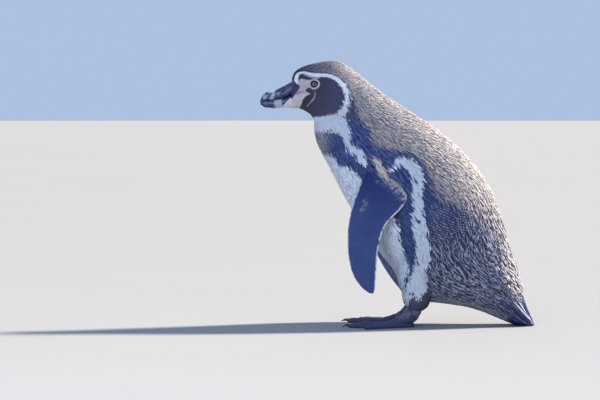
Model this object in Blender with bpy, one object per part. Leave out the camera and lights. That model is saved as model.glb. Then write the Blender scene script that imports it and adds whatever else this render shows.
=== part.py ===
"""A Humboldt penguin (Spheniscus humboldti), adult, life size: a still model of a bird that leans forward
with its neck drawn in and its flippers hanging.

Frame: metres, +Z up, the bill towards -Y, the bird's left side at +X. The origin is on the floor below
the middle of the bird's box. The solids give the outline out to the tips of the plumage.
"""

import math

import bmesh
import bpy
import numpy as np

MM = 0.001
GAP = 0.3 * MM  # left between touching solids
CUT = 0.012  # the body's thin cuts, in sections to each side: 0.3 mm or more where sections lie close

# The trunk from the bill's root to the tail's tip: each section is a ring between a point of the
# upper outline and one of the lower outline. Columns, in millimetres: upper y, upper z, lower y,
# lower z, half width, then where the widest point lies from the top (0) to the bottom (1), and
# the squareness of the ring (2 is an ellipse).
BODY = {
    "bill root": (-173.6, 404, -172, 358, 11.5, 0.52, 2.1),
    "forehead": (-171.4, 414, -166, 358, 16, 0.52, 2.1),
    "lores": (-165, 421.5, -159, 357, 20.5, 0.52, 2.15),
    "brow": (-154, 427.5, -153, 354.5, 25, 0.50, 2.2),
    "eye": (-139, 432, -147, 351, 28.5, 0.50, 2.2),
    "crown": (-122, 435.5, -142, 347, 31, 0.50, 2.2),
    "cheek": (-105, 437, -139, 342, 33, 0.52, 2.2),
    "hindcrown": (-89, 433, -137, 336, 34.5, 0.54, 2.15),
    "nape": (-74, 423.5, -137, 327, 37, 0.55, 2.1),
    "throat": (-57, 410, -135, 312, 41, 0.56, 2.1),
    "mid neck": (-37, 394, -129.5, 294.5, 47, 0.56, 2.1),
    "neck root": (-14, 377, -119, 273.5, 56.5, 0.56, 2.1),
    "mantle": (11, 360.5, -105, 247, 67, 0.55, 2.15),
    "shoulder": (39, 343, -88, 214, 76, 0.54, 2.2),
    "breast": (68, 323, -68, 179.5, 83, 0.53, 2.2),
    "back": (97, 299, -47, 146.5, 87.5, 0.53, 2.2),
    "belly": (123, 272, -23, 113, 88.5, 0.53, 2.2),
    "loin": (147.5, 238.5, -3, 86, 88, 0.53, 2.2),
    "hip": (166, 200, 6, 60, 84.5, 0.52, 2.2),
    "thigh": (178.5, 159, 22, 46, 79, 0.50, 2.2),
    "lower belly": (188.5, 124, 47, 40, 71, 0.48, 2.2),
    "rump": (197.5, 95, 82, 35.5, 61, 0.46, 2.2),
    "vent": (204, 68, 120, 29, 50, 0.42, 2.1),
    "tail root": (209.5, 45, 152, 18, 43, 0.36, 2.0),
    "tail": (214.5, 26.5, 178, 7.5, 39, 0.30, 1.9),
    "tail fan": (220.5, 13.5, 200, 0.3, 32, 0.28, 1.9),
    "tail tip": (226, 2.6, 219, -2.2, 20, 0.30, 2.0),
}
HEAD_END = "throat"  # where the thin cuts part the body
NECK_END = "mantle"
TRUNK_END = "vent"
BODY_SIDES = 32
TRUNK_RINGS = 23

# The bill's halves, columns as above
BILL_UPPER = {
    "root": (-174.2, 401.5, -173.3, 381.8, 9.6, 0.62, 2.1),
    "nostril": (-184.5, 396, -180, 377.4, 8.8, 0.62, 2.1),
    "saddle": (-194.5, 390.7, -190, 374, 7.6, 0.62, 2.1),
    "band": (-203, 387.2, -199, 372.3, 6.8, 0.6, 2.1),
    "nail root": (-210.8, 386.3, -208, 371.5, 6.4, 0.56, 2.1),
    "nail": (-217.6, 383, -214.6, 371, 5.8, 0.52, 2.1),
    "hook": (-222.6, 377.6, -217.4, 367.6, 4.9, 0.5, 2.1),
    "hook bend": (-225.2, 370.4, -219.4, 364, 3.7, 0.5, 2.0),
    "hook tip": (-224.8, 363, -221.4, 361, 1.8, 0.5, 2.0),
}
BILL_LOWER = {
    "root": (-173.3, 381.2, -172.5, 358.6, 9.2, 0.36, 2.1),
    "jaw": (-180, 376.8, -181.3, 359.2, 8.2, 0.36, 2.1),
    "branch": (-190, 373.4, -192.9, 359, 7.0, 0.38, 2.1),
    "keel": (-199, 371.7, -203, 358.3, 6.0, 0.4, 2.1),
    "blunt end": (-208, 370.9, -211, 359, 5.0, 0.42, 2.1),
    "end": (-214.2, 370.2, -216, 361.6, 3.6, 0.45, 2.0),
    "tip": (-216.2, 368.2, -217.4, 364.2, 2.2, 0.5, 2.0),
}

# The left flipper, hanging from the shoulder: leading edge y, z, trailing edge y, z, half
# thickness, widest point from the leading edge, squareness, and how far the blade's middle
# lies from the plane of symmetry.
FLIPPER = {
    "joint": (-47, 269, -27, 281, 6.5, 0.45, 2.2, 47),
    "arm": (-51.5, 257.5, -20, 261, 8, 0.42, 2.2, 63),
    "upper arm": (-57.5, 244, -9, 247, 8, 0.38, 2.1, 74.5),
    "forearm": (-63.5, 230, 2.5, 233, 7.2, 0.34, 2.0, 81.5),
    "elbow": (-70, 214.5, 13, 219, 6.4, 0.32, 1.9, 85.5),
    "elbow corner": (-75.5, 199.2, 9.5, 203.2, 5.7, 0.32, 1.9, 88),
    "wrist": (-79.5, 183, -4.5, 187.5, 5.2, 0.34, 1.85, 90),
    "hand": (-82, 166, -19, 172.5, 4.7, 0.36, 1.85, 92),
    "mid blade": (-83, 148.5, -28, 153.5, 4.3, 0.38, 1.85, 94),
    "blade": (-82.5, 129, -33, 131, 3.8, 0.38, 1.85, 96),
    "outer blade": (-80, 109.5, -35.5, 109, 3.3, 0.38, 1.85, 98),
    "end": (-74.8, 91, -37, 89, 2.8, 0.4, 1.85, 99.5),
    "tip root": (-66, 75.8, -38.5, 72.8, 2.3, 0.42, 1.9, 100.5),
    "tip": (-55.5, 64.8, -39.5, 64, 1.8, 0.45, 1.9, 101.2),
    "point": (-47, 59.2, -41, 60, 1.2, 0.5, 2.0, 101.6),
}
SHOULDER = np.array((-36, 267)) * MM  # y, z of the joint that the flippers swing about
RIGHT_SWING = math.radians(14)  # the right flipper is held further back
RIGHT_TWIST = math.radians(70)  # and its blade is turned with the leading edge outwards
RIGHT_DROP = 20 * MM  # and hangs lower

EYE_CENTRE = np.array((20.6, -136.6, 398)) * MM  # the left eye
EYE_RADIUS = 8.5 * MM
SOCKET_DENT = 1.6 * MM  # how far the face is drawn in round the eye
SOCKET_REACH = 9 * MM

LEG_CENTRE = np.array((43, 29, 0)) * MM  # the left leg, on the floor
LEG_BOTTOM = 27 * MM
ANKLE_CENTRE = np.array((43, 22, 0)) * MM  # the left ankle, a little ahead of the leg
LEG_RADII = ((27, 9), (29, 13), (34, 17.5), (43, 21.5), (58, 24.5), (80, 26.5), (101, 25.5), (113, 18))

TOE_OUT = math.radians(9)  # each foot points a little outwards
TOE_WIDTH = 5.6 * MM  # half width of a toe
TOE_HEIGHT = 9.5 * MM
WEB_HEIGHT = 3.6 * MM
ANKLE_RADIUS = 9.5 * MM
# Toes of the left foot: direction from straight ahead (positive turns outwards), and length from
# the middle of the ankle to the root of the claw
TOES = {
    "inner": (math.radians(-25), 80 * MM),
    "middle": (math.radians(0), 100 * MM),
    "outer": (math.radians(24), 88 * MM),
}
HIND_TOE = (math.radians(-72), 19 * MM)
CLAW_LENGTH = 10 * MM
CLAW_RADIUS = 2.7 * MM


def spline(rows, at):
    """Natural cubic curve through equally spaced rows, read at the places `at` (0 is the first row)."""
    rows = np.array(rows, float)
    last = len(rows) - 1
    bend = np.zeros_like(rows)
    system = 4 * np.eye(last - 1) + np.eye(last - 1, k=1) + np.eye(last - 1, k=-1)
    bend[1:-1] = np.linalg.solve(system, 6 * (rows[:-2] - 2 * rows[1:-1] + rows[2:]))
    at = np.asarray(at, float)
    low = np.clip(np.floor(at).astype(int), 0, last - 1)
    t = (at - low)[:, None]
    s = 1 - t
    straight = s * rows[low] + t * rows[low + 1]
    return straight + ((s**3 - s) * bend[low] + (t**3 - t) * bend[low + 1]) / 6


def rings(table, stations, sides, grow=0.0):
    """Rings of a form between two outlines that lie in the plane of symmetry.

    A ring starts at its upper point, goes round by +X through its lower point, and is a
    superellipse about its widest level. `grow` moves the whole surface outwards.
    """
    upper_y, upper_z, lower_y, lower_z, half, widest, square = spline(list(table.values()), stations).T[:7]
    upper = np.stack((upper_y, upper_z), 1) * MM
    lower = np.stack((lower_y, lower_z), 1) * MM
    across = lower - upper
    across /= np.linalg.norm(across, axis=1)[:, None]
    upper = upper - across * grow
    lower = lower + across * grow
    level = upper + (lower - upper) * widest[:, None]
    angle = np.arange(sides) * 2 * math.pi / sides
    up = np.sign(np.cos(angle)) * np.abs(np.cos(angle)) ** (2 / square[:, None])
    side = np.sign(np.sin(angle)) * np.abs(np.sin(angle)) ** (2 / square[:, None])
    reach = np.where(up[:, :, None] > 0, (upper - level)[:, None], (level - lower)[:, None])
    place = level[:, None] + reach * up[:, :, None]
    return np.dstack((side * (half * MM + grow)[:, None], place))


def stations_between(table, first, last, count):
    """Places along a table from one named section to another, evenly spaced."""
    names = list(table)
    return np.linspace(names.index(first), names.index(last), count)


def loft(name, grid):
    """A closed mesh over a stack of rings, with a flat cap on each end."""
    body = bmesh.new()
    rows = [[body.verts.new(point) for point in ring] for ring in grid]
    sides = len(rows[0])
    for near, far in zip(rows, rows[1:]):
        for i in range(sides):
            j = (i + 1) % sides
            body.faces.new((near[i], near[j], far[j], far[i]))
    body.faces.new(rows[0])
    body.faces.new(rows[-1])
    return finished(name, body)


def finished(name, body):
    """A closed form as a mesh: faces turned outwards, shaded smooth between its sharp edges."""
    bmesh.ops.recalc_face_normals(body, faces=body.faces)
    mesh = bpy.data.meshes.new(name)
    body.to_mesh(mesh)
    body.free()
    mesh.shade_smooth()
    mesh.set_sharp_from_angle(angle=math.radians(50))
    return mesh


def material(name, colour, roughness):
    """A plain surface of one colour."""
    made = bpy.data.materials.new(name)
    made.use_nodes = True
    shader = made.node_tree.nodes["Principled BSDF"]
    shader.inputs["Base Color"].default_value = (*colour, 1)
    shader.inputs["Roughness"].default_value = roughness
    shader.inputs["Metallic"].default_value = 0
    return made


def add(name, mesh, collection, surface=None):
    """Puts a mesh in the scene as an object at the origin."""
    piece = bpy.data.objects.new(name, mesh)
    collection.objects.link(piece)
    if surface:
        mesh.materials.clear()
        mesh.materials.append(surface)
    return piece


def add_cutter(name, mesh, cutters):
    """A guide that only cuts other pieces."""
    cutter = add(name, mesh, cutters)
    cutter.hide_render = True
    cutter.display_type = "WIRE"
    return cutter


def cut(piece, cutter):
    """Takes the cutter's form out of a piece."""
    step = piece.modifiers.new("cut by " + cutter.name, "BOOLEAN")
    step.operation = "DIFFERENCE"
    step.solver = "EXACT"
    step.object = cutter


def ball(name, centre, radius, segments=16, levels=11):
    """A sphere."""
    body = bmesh.new()
    bmesh.ops.create_uvsphere(body, u_segments=segments, v_segments=levels, radius=radius)
    bmesh.ops.translate(body, verts=body.verts, vec=centre)
    return finished(name, body)


def body_part(name, first, last, count, grow=0.0):
    """A stretch of the body between two named sections, short of each by half the gap."""
    stations = stations_between(BODY, first, last, count)
    if first != list(BODY)[0]:
        stations[0] += CUT
    if last != list(BODY)[-1]:
        stations[-1] -= CUT
    grid = rings(BODY, stations, BODY_SIDES, grow)
    draw_in_sockets(grid)
    grid[:, :, 2] = np.maximum(grid[:, :, 2], 0)
    return loft(name, grid)


def draw_in_sockets(grid):
    """Draws the face in towards the plane of symmetry, in a soft hollow round each eye."""
    distance = np.linalg.norm(grid[:, :, 1:] - EYE_CENTRE[1:], axis=2)
    hollow = SOCKET_DENT * np.exp(-((distance / SOCKET_REACH) ** 2))
    grid[:, :, 0] -= np.sign(grid[:, :, 0]) * hollow


def mirrored(point, side):
    """The same point on the left (side 1) or right (side -1)."""
    return np.array((side * point[0], point[1], point[2]))


def make_head(parts, cutters):
    """The head with a socket for each eye, and the eyes in them."""
    head = add("head", body_part("head", "bill root", HEAD_END, 17), parts, material("face", (0.05, 0.05, 0.06), 0.8))
    for word, side in (("left", 1), ("right", -1)):
        centre = mirrored(EYE_CENTRE, side)
        cut(head, add_cutter("socket_" + word, ball("socket_" + word, centre, EYE_RADIUS + GAP), cutters))
        eye = ball("eye_" + word, centre, EYE_RADIUS)
        add("eye_" + word, eye, parts, material("eye_" + word, (0.02, 0.012, 0.01), 0.1))


def make_bill(parts):
    """The two halves of the bill, the upper one hooked over the lower."""
    horn = {"bill_upper": BILL_UPPER, "bill_lower": BILL_LOWER}
    for name, table in horn.items():
        last = len(table) - 1
        grid = rings(table, np.linspace(0, last, 2 * last + 1), 16)
        add(name, loft(name, grid), parts, material(name, (0.03, 0.035, 0.045), 0.35))


def make_trunk(parts, cutters):
    """Neck, trunk and tail, and the cutter that keeps the limbs clear of the trunk."""
    add("neck", body_part("neck", HEAD_END, NECK_END, 8), parts, material("neck", (0.2, 0.18, 0.17), 0.85))
    add("trunk", body_part("trunk", NECK_END, TRUNK_END, TRUNK_RINGS), parts, material("trunk", (0.3, 0.29, 0.28), 0.85))
    add("tail", body_part("tail", TRUNK_END, "tail tip", 9), parts, material("tail", (0.03, 0.035, 0.05), 0.6))
    room = body_part("trunk_room", NECK_END, TRUNK_END, TRUNK_RINGS, 1.5 * GAP)
    return add_cutter("trunk_room", room, cutters)


def left_flipper(count=20, sides=16):
    """Rings of a flipper: a blade between its two edges, carried out from the body by its last column."""
    stations = np.linspace(0, len(FLIPPER) - 1, count)
    grid = rings(FLIPPER, stations, sides)
    grid[:, :, 0] += spline(list(FLIPPER.values()), stations)[:, 7:] * MM
    return grid


def right_flipper():
    """The left flipper's rings, turned about an upright line, swung about the shoulder and mirrored.

    It is drawn in towards its tip until it reaches as far out as the left one.
    """
    grid = left_flipper()
    out_to = grid[:, :, 0].max()
    count = len(grid)
    along = np.linspace(0, 1, count)[:, None]
    twist = RIGHT_TWIST * np.clip(along * 1.25 - 0.1, 0, 1)
    axis = grid[:, :, 0].mean(axis=1, keepdims=True)
    x, y = grid[:, :, 0] - axis, grid[:, :, 1] - SHOULDER[0]
    grid[:, :, 0] = axis + np.cos(twist) * x - np.sin(twist) * y
    grid[:, :, 1] = SHOULDER[0] + np.sin(twist) * x + np.cos(twist) * y
    grid[:, :, 2] -= RIGHT_DROP * (0.35 + 0.65 * np.clip(along * 2, 0, 1))
    y, z = (grid[:, :, 1:] - SHOULDER).transpose(2, 0, 1)
    swing = RIGHT_SWING * np.clip(along * 3, 0, 1)
    grid[:, :, 1] = SHOULDER[0] + np.cos(swing) * y - np.sin(swing) * z
    grid[:, :, 2] = SHOULDER[1] + np.sin(swing) * y + np.cos(swing) * z
    grid[:, :, 0] += along * ((out_to - grid[1:, :, 0]) / along[1:]).min()
    grid[:, :, 0] *= -1
    return grid


def make_flippers(parts, trunk_room):
    """Both flippers, cut back to the trunk's side."""
    for name, grid in (("flipper_left", left_flipper()), ("flipper_right", right_flipper())):
        flipper = add(name, loft(name, grid), parts, material(name, (0.04, 0.05, 0.08), 0.7))
        cut(flipper, trunk_room)


def make_legs(parts, trunk_room):
    """The feathered legs: turned lumps with a flat hem, cut back to the belly."""
    angle = np.arange(20) * 2 * math.pi / 20
    for word, side in (("left", 1), ("right", -1)):
        heights, radii = np.array(LEG_RADII).T * MM
        centre = mirrored(LEG_CENTRE, side)
        circle = np.stack((np.cos(angle), 1.08 * np.sin(angle)), 1)
        flat = radii[:, None, None] * circle
        grid = np.dstack((flat, np.broadcast_to(heights[:, None], flat.shape[:2]))) + centre
        mesh = loft("leg_" + word, grid)
        leg = add("leg_" + word, mesh, parts, material("leg_" + word, (0.45, 0.44, 0.42), 0.85))
        cut(leg, trunk_room)


def toe_point(direction, reach):
    """A point of the left foot, from the ankle's middle: forwards is -Y, outwards +X."""
    return np.array((math.sin(direction), -math.cos(direction))) * reach


def foot_outline(angle):
    """How far the left foot reaches from its middle at an angle: webs drawn in between round toe tips."""
    reach = np.full_like(angle, 0.0)
    middle = FOOT_MIDDLE
    tips = [toe_point(*toe) for toe in TOES.values()] + [toe_point(*HIND_TOE)]
    for tip in tips:
        reach = np.maximum(reach, capsule_reach(angle, tip - middle, TOE_WIDTH))
    reach = np.maximum(reach, capsule_reach(angle, -middle, ANKLE_RADIUS + 3 * MM))
    return np.maximum(reach, web_reach(angle, [tip - middle for tip in tips[:3]]))


def capsule_reach(angle, tip, radius):
    """The far side, seen from the origin at each angle, of a round-ended bar from the origin to a tip."""
    length = np.linalg.norm(tip)
    off = angle - math.atan2(tip[1], tip[0])
    chord = radius**2 - (length * np.sin(off)) ** 2
    end = length * np.cos(off) + np.sqrt(np.maximum(chord, 0))
    flank = radius / np.maximum(np.abs(np.sin(off)), 1e-6)
    flank = np.where(np.cos(off) > 0, np.minimum(flank, length), radius)
    return np.where((chord > 0) & (np.cos(off) > 0), np.maximum(end, radius), np.maximum(flank, radius))


def web_reach(angle, tips):
    """The webs' edge: straight from toe to toe, then drawn in by a shallow arc."""
    reach = np.zeros_like(angle)
    for a, b in zip(tips, tips[1:]):
        from_a = math.atan2(a[1], a[0])
        from_b = math.atan2(b[1], b[0])
        share = (angle - from_a) / (from_b - from_a)
        inside = (share >= 0) & (share <= 1)
        straight = (1 - share) * np.linalg.norm(a) + share * np.linalg.norm(b)
        bay = 1 - 0.17 * np.sin(math.pi * np.clip(share, 0, 1))
        reach = np.maximum(reach, np.where(inside, straight * 0.96 * bay, 0))
    return reach


FOOT_MIDDLE = np.array((0, -24)) * MM  # of the left foot, from the ankle's middle


def foot_height(x, y):
    """The upper side of the left foot: the webs, a ridge along each toe, and the ankle's slope."""
    height = np.full_like(x, WEB_HEIGHT)
    for direction, reach in (*TOES.values(), HIND_TOE):
        tip = toe_point(direction, reach)
        along = np.clip((x * tip[0] + y * tip[1]) / reach**2, 0, 1)
        distance = np.hypot(x - along * tip[0], y - along * tip[1])
        bulge = np.sqrt(np.clip(1 - (distance / (TOE_WIDTH * 1.25)) ** 2, 0, 1))
        height = np.maximum(height, TOE_HEIGHT * (1 - 0.25 * along) * bulge)
    ahead = np.clip(-y / (44 * MM), 0, 1)
    slope = (LEG_BOTTOM - GAP) * (1 - ahead) + 6 * MM * ahead
    side = np.hypot(x, np.maximum(y, 0)) / (ANKLE_RADIUS + 5 * MM * ahead)
    ankle = slope * np.clip(1.9 - 0.95 * side**2, 0, 1) ** 0.6
    return np.maximum(height, np.where(side < 1.4, ankle, 0))


def make_feet(parts):
    """Flat-soled webbed feet and their claws."""
    angle = np.arange(52) * 2 * math.pi / 52 - math.pi / 2
    share = np.array((0.0, 0.22, 0.42, 0.6, 0.78, 0.93, 1.0))[:, None]
    reach = foot_outline(np.arctan2(np.sin(angle), np.cos(angle)))
    x = FOOT_MIDDLE[0] + share * reach * np.cos(angle)
    y = FOOT_MIDDLE[1] + share * reach * np.sin(angle)
    height = foot_height(x, y)
    height[-1] = 1.6 * MM
    for word, side in (("left", 1), ("right", -1)):
        name = "foot_" + word
        mesh = foot_mesh(name, x, y, height, side)
        add(name, mesh, parts, material(name, (0.06, 0.05, 0.055), 0.6))
        for toe, (direction, reach_to) in {**TOES, "hind": HIND_TOE}.items():
            claw = "claw_" + word + "_" + toe
            mesh = claw_mesh(claw, direction, reach_to + TOE_WIDTH, side)
            add(claw, mesh, parts, material(claw, (0.03, 0.028, 0.03), 0.4))


def to_world(x, y, side):
    """Carries points of the left foot to a foot's place, turned out and mirrored for the right one."""
    out_x = ANKLE_CENTRE[0] + math.cos(TOE_OUT) * x - math.sin(TOE_OUT) * y
    out_y = ANKLE_CENTRE[1] + math.sin(TOE_OUT) * x + math.cos(TOE_OUT) * y
    return side * out_x, out_y


def foot_mesh(name, x, y, height, side):
    """A foot: rings of its upper side from the middle out, closed by the flat sole."""
    world_x, world_y = to_world(x, y, side)
    body = bmesh.new()
    top = body.verts.new((world_x[0, 0], world_y[0, 0], height[0, 0]))
    rows = [
        [body.verts.new(point) for point in zip(world_x[i], world_y[i], height[i])]
        for i in range(1, len(x))
    ]
    rows.append([body.verts.new((px, py, 0)) for px, py in zip(world_x[-1], world_y[-1])])
    count = len(rows[0])
    for i in range(count):
        j = (i + 1) % count
        body.faces.new((top, rows[0][i], rows[0][j]))
        for near, far in zip(rows, rows[1:]):
            body.faces.new((near[i], far[i], far[j], near[j]))
    body.faces.new(rows[-1])
    return finished(name, body)


def claw_mesh(name, direction, start, side):
    """A claw: a cone bent down, from the toe's end."""
    along = np.linspace(0, 1, 5)[:, None]
    angle = (np.arange(8) * 2 * math.pi / 8)[None]
    radius = CLAW_RADIUS * (1 - 0.85 * along)
    forwards = start + GAP + CLAW_LENGTH * along
    height = 3.6 * MM - 1.6 * MM * along**2
    x = np.sin(direction) * forwards + np.cos(direction) * radius * np.cos(angle)
    y = -np.cos(direction) * forwards + np.sin(direction) * radius * np.cos(angle)
    world_x, world_y = to_world(x, y, side)
    return loft(name, np.dstack((world_x, world_y, height + radius * np.sin(angle))))


def main():
    """Builds the penguin in an empty scene."""
    for old in list(bpy.data.objects):
        bpy.data.objects.remove(old)
    parts = bpy.data.collections.new("humboldt_penguin")
    cutters = bpy.data.collections.new("cutters")
    bpy.context.scene.collection.children.link(parts)
    bpy.context.scene.collection.children.link(cutters)
    make_head(parts, cutters)
    make_bill(parts)
    trunk_room = make_trunk(parts, cutters)
    make_flippers(parts, trunk_room)
    make_legs(parts, trunk_room)
    make_feet(parts)


main()
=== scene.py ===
"""The looks of a life-size Humboldt penguin: one skin under a coat of small overlapping feathers, with the
bill, the eyes and the claws as pieces of their own.

Lengths are in metres, and in millimetres in the tables where nothing else is said. The bill points to
-Y, the bird's left side is at +X and the floor is at z = 0.
"""

import math

import bpy
import numpy as np
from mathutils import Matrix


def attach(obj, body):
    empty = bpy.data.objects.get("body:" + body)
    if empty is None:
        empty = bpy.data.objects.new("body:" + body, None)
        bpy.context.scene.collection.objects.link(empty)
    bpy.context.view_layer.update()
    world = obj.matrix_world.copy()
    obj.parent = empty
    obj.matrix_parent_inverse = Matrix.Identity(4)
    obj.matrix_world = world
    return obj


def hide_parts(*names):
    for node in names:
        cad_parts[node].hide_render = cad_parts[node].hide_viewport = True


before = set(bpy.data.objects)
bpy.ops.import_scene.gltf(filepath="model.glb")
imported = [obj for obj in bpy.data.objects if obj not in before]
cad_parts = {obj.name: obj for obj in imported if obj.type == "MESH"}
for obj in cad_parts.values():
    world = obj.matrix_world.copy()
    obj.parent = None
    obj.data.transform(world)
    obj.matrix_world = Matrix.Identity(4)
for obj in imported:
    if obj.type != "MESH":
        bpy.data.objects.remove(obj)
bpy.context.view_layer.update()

MM = 0.001

SIDES = (("left", 1), ("right", -1))  # each with the sign of x there

# ---------------------------------------------------------------- the bird's forms

# Sections of the body, each a ring between a point of the upper outline and one of the lower
# outline: upper y, z, lower y, z, half width, widest level from the top (0) to the bottom (1), and
# the squareness of the ring (2 is an ellipse).
BODY = {
    "bill root": (-173.6, 404, -172, 358, 11.5, 0.52, 2.1),
    "forehead": (-171.4, 414, -166, 358, 16, 0.52, 2.1),
    "lores": (-165, 421.5, -159, 357, 20.5, 0.52, 2.15),
    "brow": (-154, 427.5, -153, 354.5, 25, 0.50, 2.2),
    "eye": (-139, 432, -147, 351, 28.5, 0.50, 2.2),
    "crown": (-122, 435.5, -142, 347, 31, 0.50, 2.2),
    "cheek": (-105, 437, -139, 342, 33, 0.52, 2.2),
    "hindcrown": (-89, 433, -137, 336, 34.5, 0.54, 2.15),
    "nape": (-74, 423.5, -137, 327, 37, 0.55, 2.1),
    "throat": (-57, 410, -135, 312, 41, 0.56, 2.1),
    "mid neck": (-37, 394, -129.5, 294.5, 47, 0.56, 2.1),
    "neck root": (-14, 377, -119, 273.5, 56.5, 0.56, 2.1),
    "mantle": (11, 360.5, -105, 247, 67, 0.55, 2.15),
    "shoulder": (39, 343, -88, 214, 76, 0.54, 2.2),
    "breast": (68, 323, -68, 179.5, 83, 0.53, 2.2),
    "back": (97, 299, -47, 146.5, 87.5, 0.53, 2.2),
    "belly": (123, 272, -23, 113, 88.5, 0.53, 2.2),
    "loin": (147.5, 238.5, -3, 86, 88, 0.53, 2.2),
    "hip": (166, 200, 6, 60, 84.5, 0.52, 2.2),
    "thigh": (178.5, 159, 22, 46, 79, 0.50, 2.2),
    "lower belly": (188.5, 124, 47, 40, 71, 0.48, 2.2),
    "rump": (197.5, 95, 82, 35.5, 61, 0.46, 2.2),
    "vent": (204, 68, 120, 29, 50, 0.42, 2.1),
    "tail root": (209.5, 45, 152, 18, 43, 0.36, 2.0),
    "tail": (214.5, 26.5, 178, 7.5, 39, 0.30, 1.9),
    "tail fan": (220.5, 13.5, 200, 0.3, 32, 0.28, 1.9),
    "tail tip": (226, 2.6, 219, -2.2, 20, 0.30, 2.0),
}
STATION = {word: number for number, word in enumerate(BODY)}
BILL_UPPER = {
    "root": (-174.2, 401.5, -173.3, 381.8, 9.6, 0.62, 2.1),
    "nostril": (-184.5, 396, -180, 377.4, 8.8, 0.62, 2.1),
    "saddle": (-194.5, 390.7, -190, 374, 7.6, 0.62, 2.1),
    "band": (-203, 387.2, -199, 372.3, 6.8, 0.6, 2.1),
    "nail root": (-210.8, 386.3, -208, 371.5, 6.4, 0.56, 2.1),
    "nail": (-217.6, 383.0, -214.4, 371.0, 5.8, 0.52, 2.1),
    "hook": (-222.6, 377.8, -218.8, 369.4, 4.9, 0.5, 2.1),
    "hook bend": (-225.4, 370.6, -221.2, 366.4, 3.9, 0.5, 2.0),
    "hook tip": (-225, 364.2, -222.6, 362.8, 2.1, 0.5, 2.0),
}
BILL_LOWER = {
    "root": (-173.3, 381.2, -172.5, 358.6, 9.2, 0.36, 2.1),
    "jaw": (-180, 376.8, -181.3, 359.2, 8.2, 0.36, 2.1),
    "branch": (-190, 373.4, -192.9, 359, 7.0, 0.38, 2.1),
    "keel": (-199, 371.7, -203, 358.3, 6.0, 0.4, 2.1),
    "blunt end": (-208, 371, -210.5, 359, 5.2, 0.42, 2.1),
    "end": (-216.5, 370.8, -217.4, 359.6, 4.6, 0.45, 2.0),
    "tip": (-223, 369, -221.8, 362, 3.4, 0.5, 2.0),
}
# The left flipper: leading edge y, z, trailing edge y, z, half thickness, widest point from the
# leading edge, squareness, and how far the blade's middle lies from the plane of symmetry.
FLIPPER = {
    "joint": (-47, 269, -27, 281, 6.5, 0.45, 2.2, 47),
    "arm": (-51.5, 257.5, -20, 261, 8, 0.42, 2.2, 63),
    "upper arm": (-57.5, 244, -9, 247, 8, 0.38, 2.1, 74.5),
    "forearm": (-63.5, 230, 2.5, 233, 7.2, 0.34, 2.0, 81.5),
    "elbow": (-70, 214.5, 13, 219, 6.4, 0.32, 1.9, 85.5),
    "elbow corner": (-75.5, 199.2, 9.5, 203.2, 5.7, 0.32, 1.9, 88),
    "wrist": (-79.5, 183, -4.5, 187.5, 5.2, 0.34, 1.85, 90),
    "hand": (-82, 166, -19, 172.5, 4.7, 0.36, 1.85, 92),
    "mid blade": (-83, 148.5, -28, 153.5, 4.3, 0.38, 1.85, 94),
    "blade": (-82.5, 129, -33, 131, 3.8, 0.38, 1.85, 96),
    "outer blade": (-80, 109.5, -35.5, 109, 3.3, 0.38, 1.85, 98),
    "end": (-74.8, 91, -37, 89, 2.8, 0.4, 1.85, 99.5),
    "tip root": (-66, 75.8, -38.5, 72.8, 2.3, 0.42, 1.9, 100.5),
    "tip": (-55.5, 64.8, -39.5, 64, 1.8, 0.45, 1.9, 101.2),
    "point": (-47, 59.2, -41, 60, 1.2, 0.5, 2.0, 101.6),
}
SHOULDER = np.array((-36, 267)) * MM  # y, z of the joint that the flippers swing about
# The right flipper is the left one's mirror image, swung back, turned about its length and hung lower
RIGHT_SWING = math.radians(14)
RIGHT_TWIST = math.radians(70)
RIGHT_DROP = 20 * MM

# The left eye, the dent of its socket, and the bare ring round it
EYE_CENTRE = np.array((20.6, -136.6, 398)) * MM
EYE_RADIUS = 8.5 * MM
SOCKET_DENT = 1.6 * MM
SOCKET_REACH = 9 * MM
LID_RADIUS = 8.7 * MM
# The ring's profile: distance from the axis and height over the face, from the buried back round the front
LID_PROFILE = (
    (6.5, -4.0), (6.1, -1.5), (6.0, -0.4), (6.15, 0.22), (6.5, 0.6), (6.95, 0.7), (7.3, 0.52),
    (7.65, 0.62), (8.05, 0.5), (8.4, 0.28), (8.75, 0.1), (9.05, -0.2), (9.3, -0.9), (9.2, -4.0),
)

LEG_CENTRE = np.array((43, 29, 0)) * MM
HEM_HEIGHT = 47 * MM  # where a leg's white ends and its dark hem starts
ANKLE_CENTRE = np.array((43, 22, 0)) * MM
# The leg's lump from under the belly down to the foot: height, radius and the y of its middle
LEG = (
    (124, 9, 31), (113, 17.5, 30), (101, 24.5, 30), (80, 26, 31), (58, 23.2, 33), (43, 20.5, 32),
    (34, 17, 31), (29, 13, 30), (27, 9, 29.5),
)
LEG_LONGER = 1.08  # its depth over its width

TOE_OUT = math.radians(9)
TOE_WIDTH = 5.6 * MM
TOES = {
    "inner": (math.radians(-25), 80 * MM),
    "middle": (math.radians(0), 100 * MM),
    "outer": (math.radians(24), 88 * MM),
    "hind": (math.radians(-72), 19 * MM),
}
TOE_JOINTS = (0.4, 0.66, 0.9)  # the places of its joints along a toe
TOE_HEIGHT = 3.3 * MM  # of its middle line
SCUTE_LENGTH = 3.1 * MM
WEB_THICKNESS = 2.6 * MM
# The instep from the leg out along the foot: y and z of its middle line, half width and half depth
INSTEP = (
    (9, 37, 10.6, 10.8), (5, 27, 11.6, 11.8), (-3, 17, 12.2, 12), (-16, 10.5, 12, 8.6),
    (-33, 7, 10, 5.4), (-52, 4.2, 5.8, 2.8),
)
CLAW_LENGTH = 10 * MM
CLAW_RADIUS = 2.7 * MM
CLAW_ROOT = 2.5 * MM  # how much of it is hidden in the toe
FLOOR_GAP = 0.2 * MM

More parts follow.
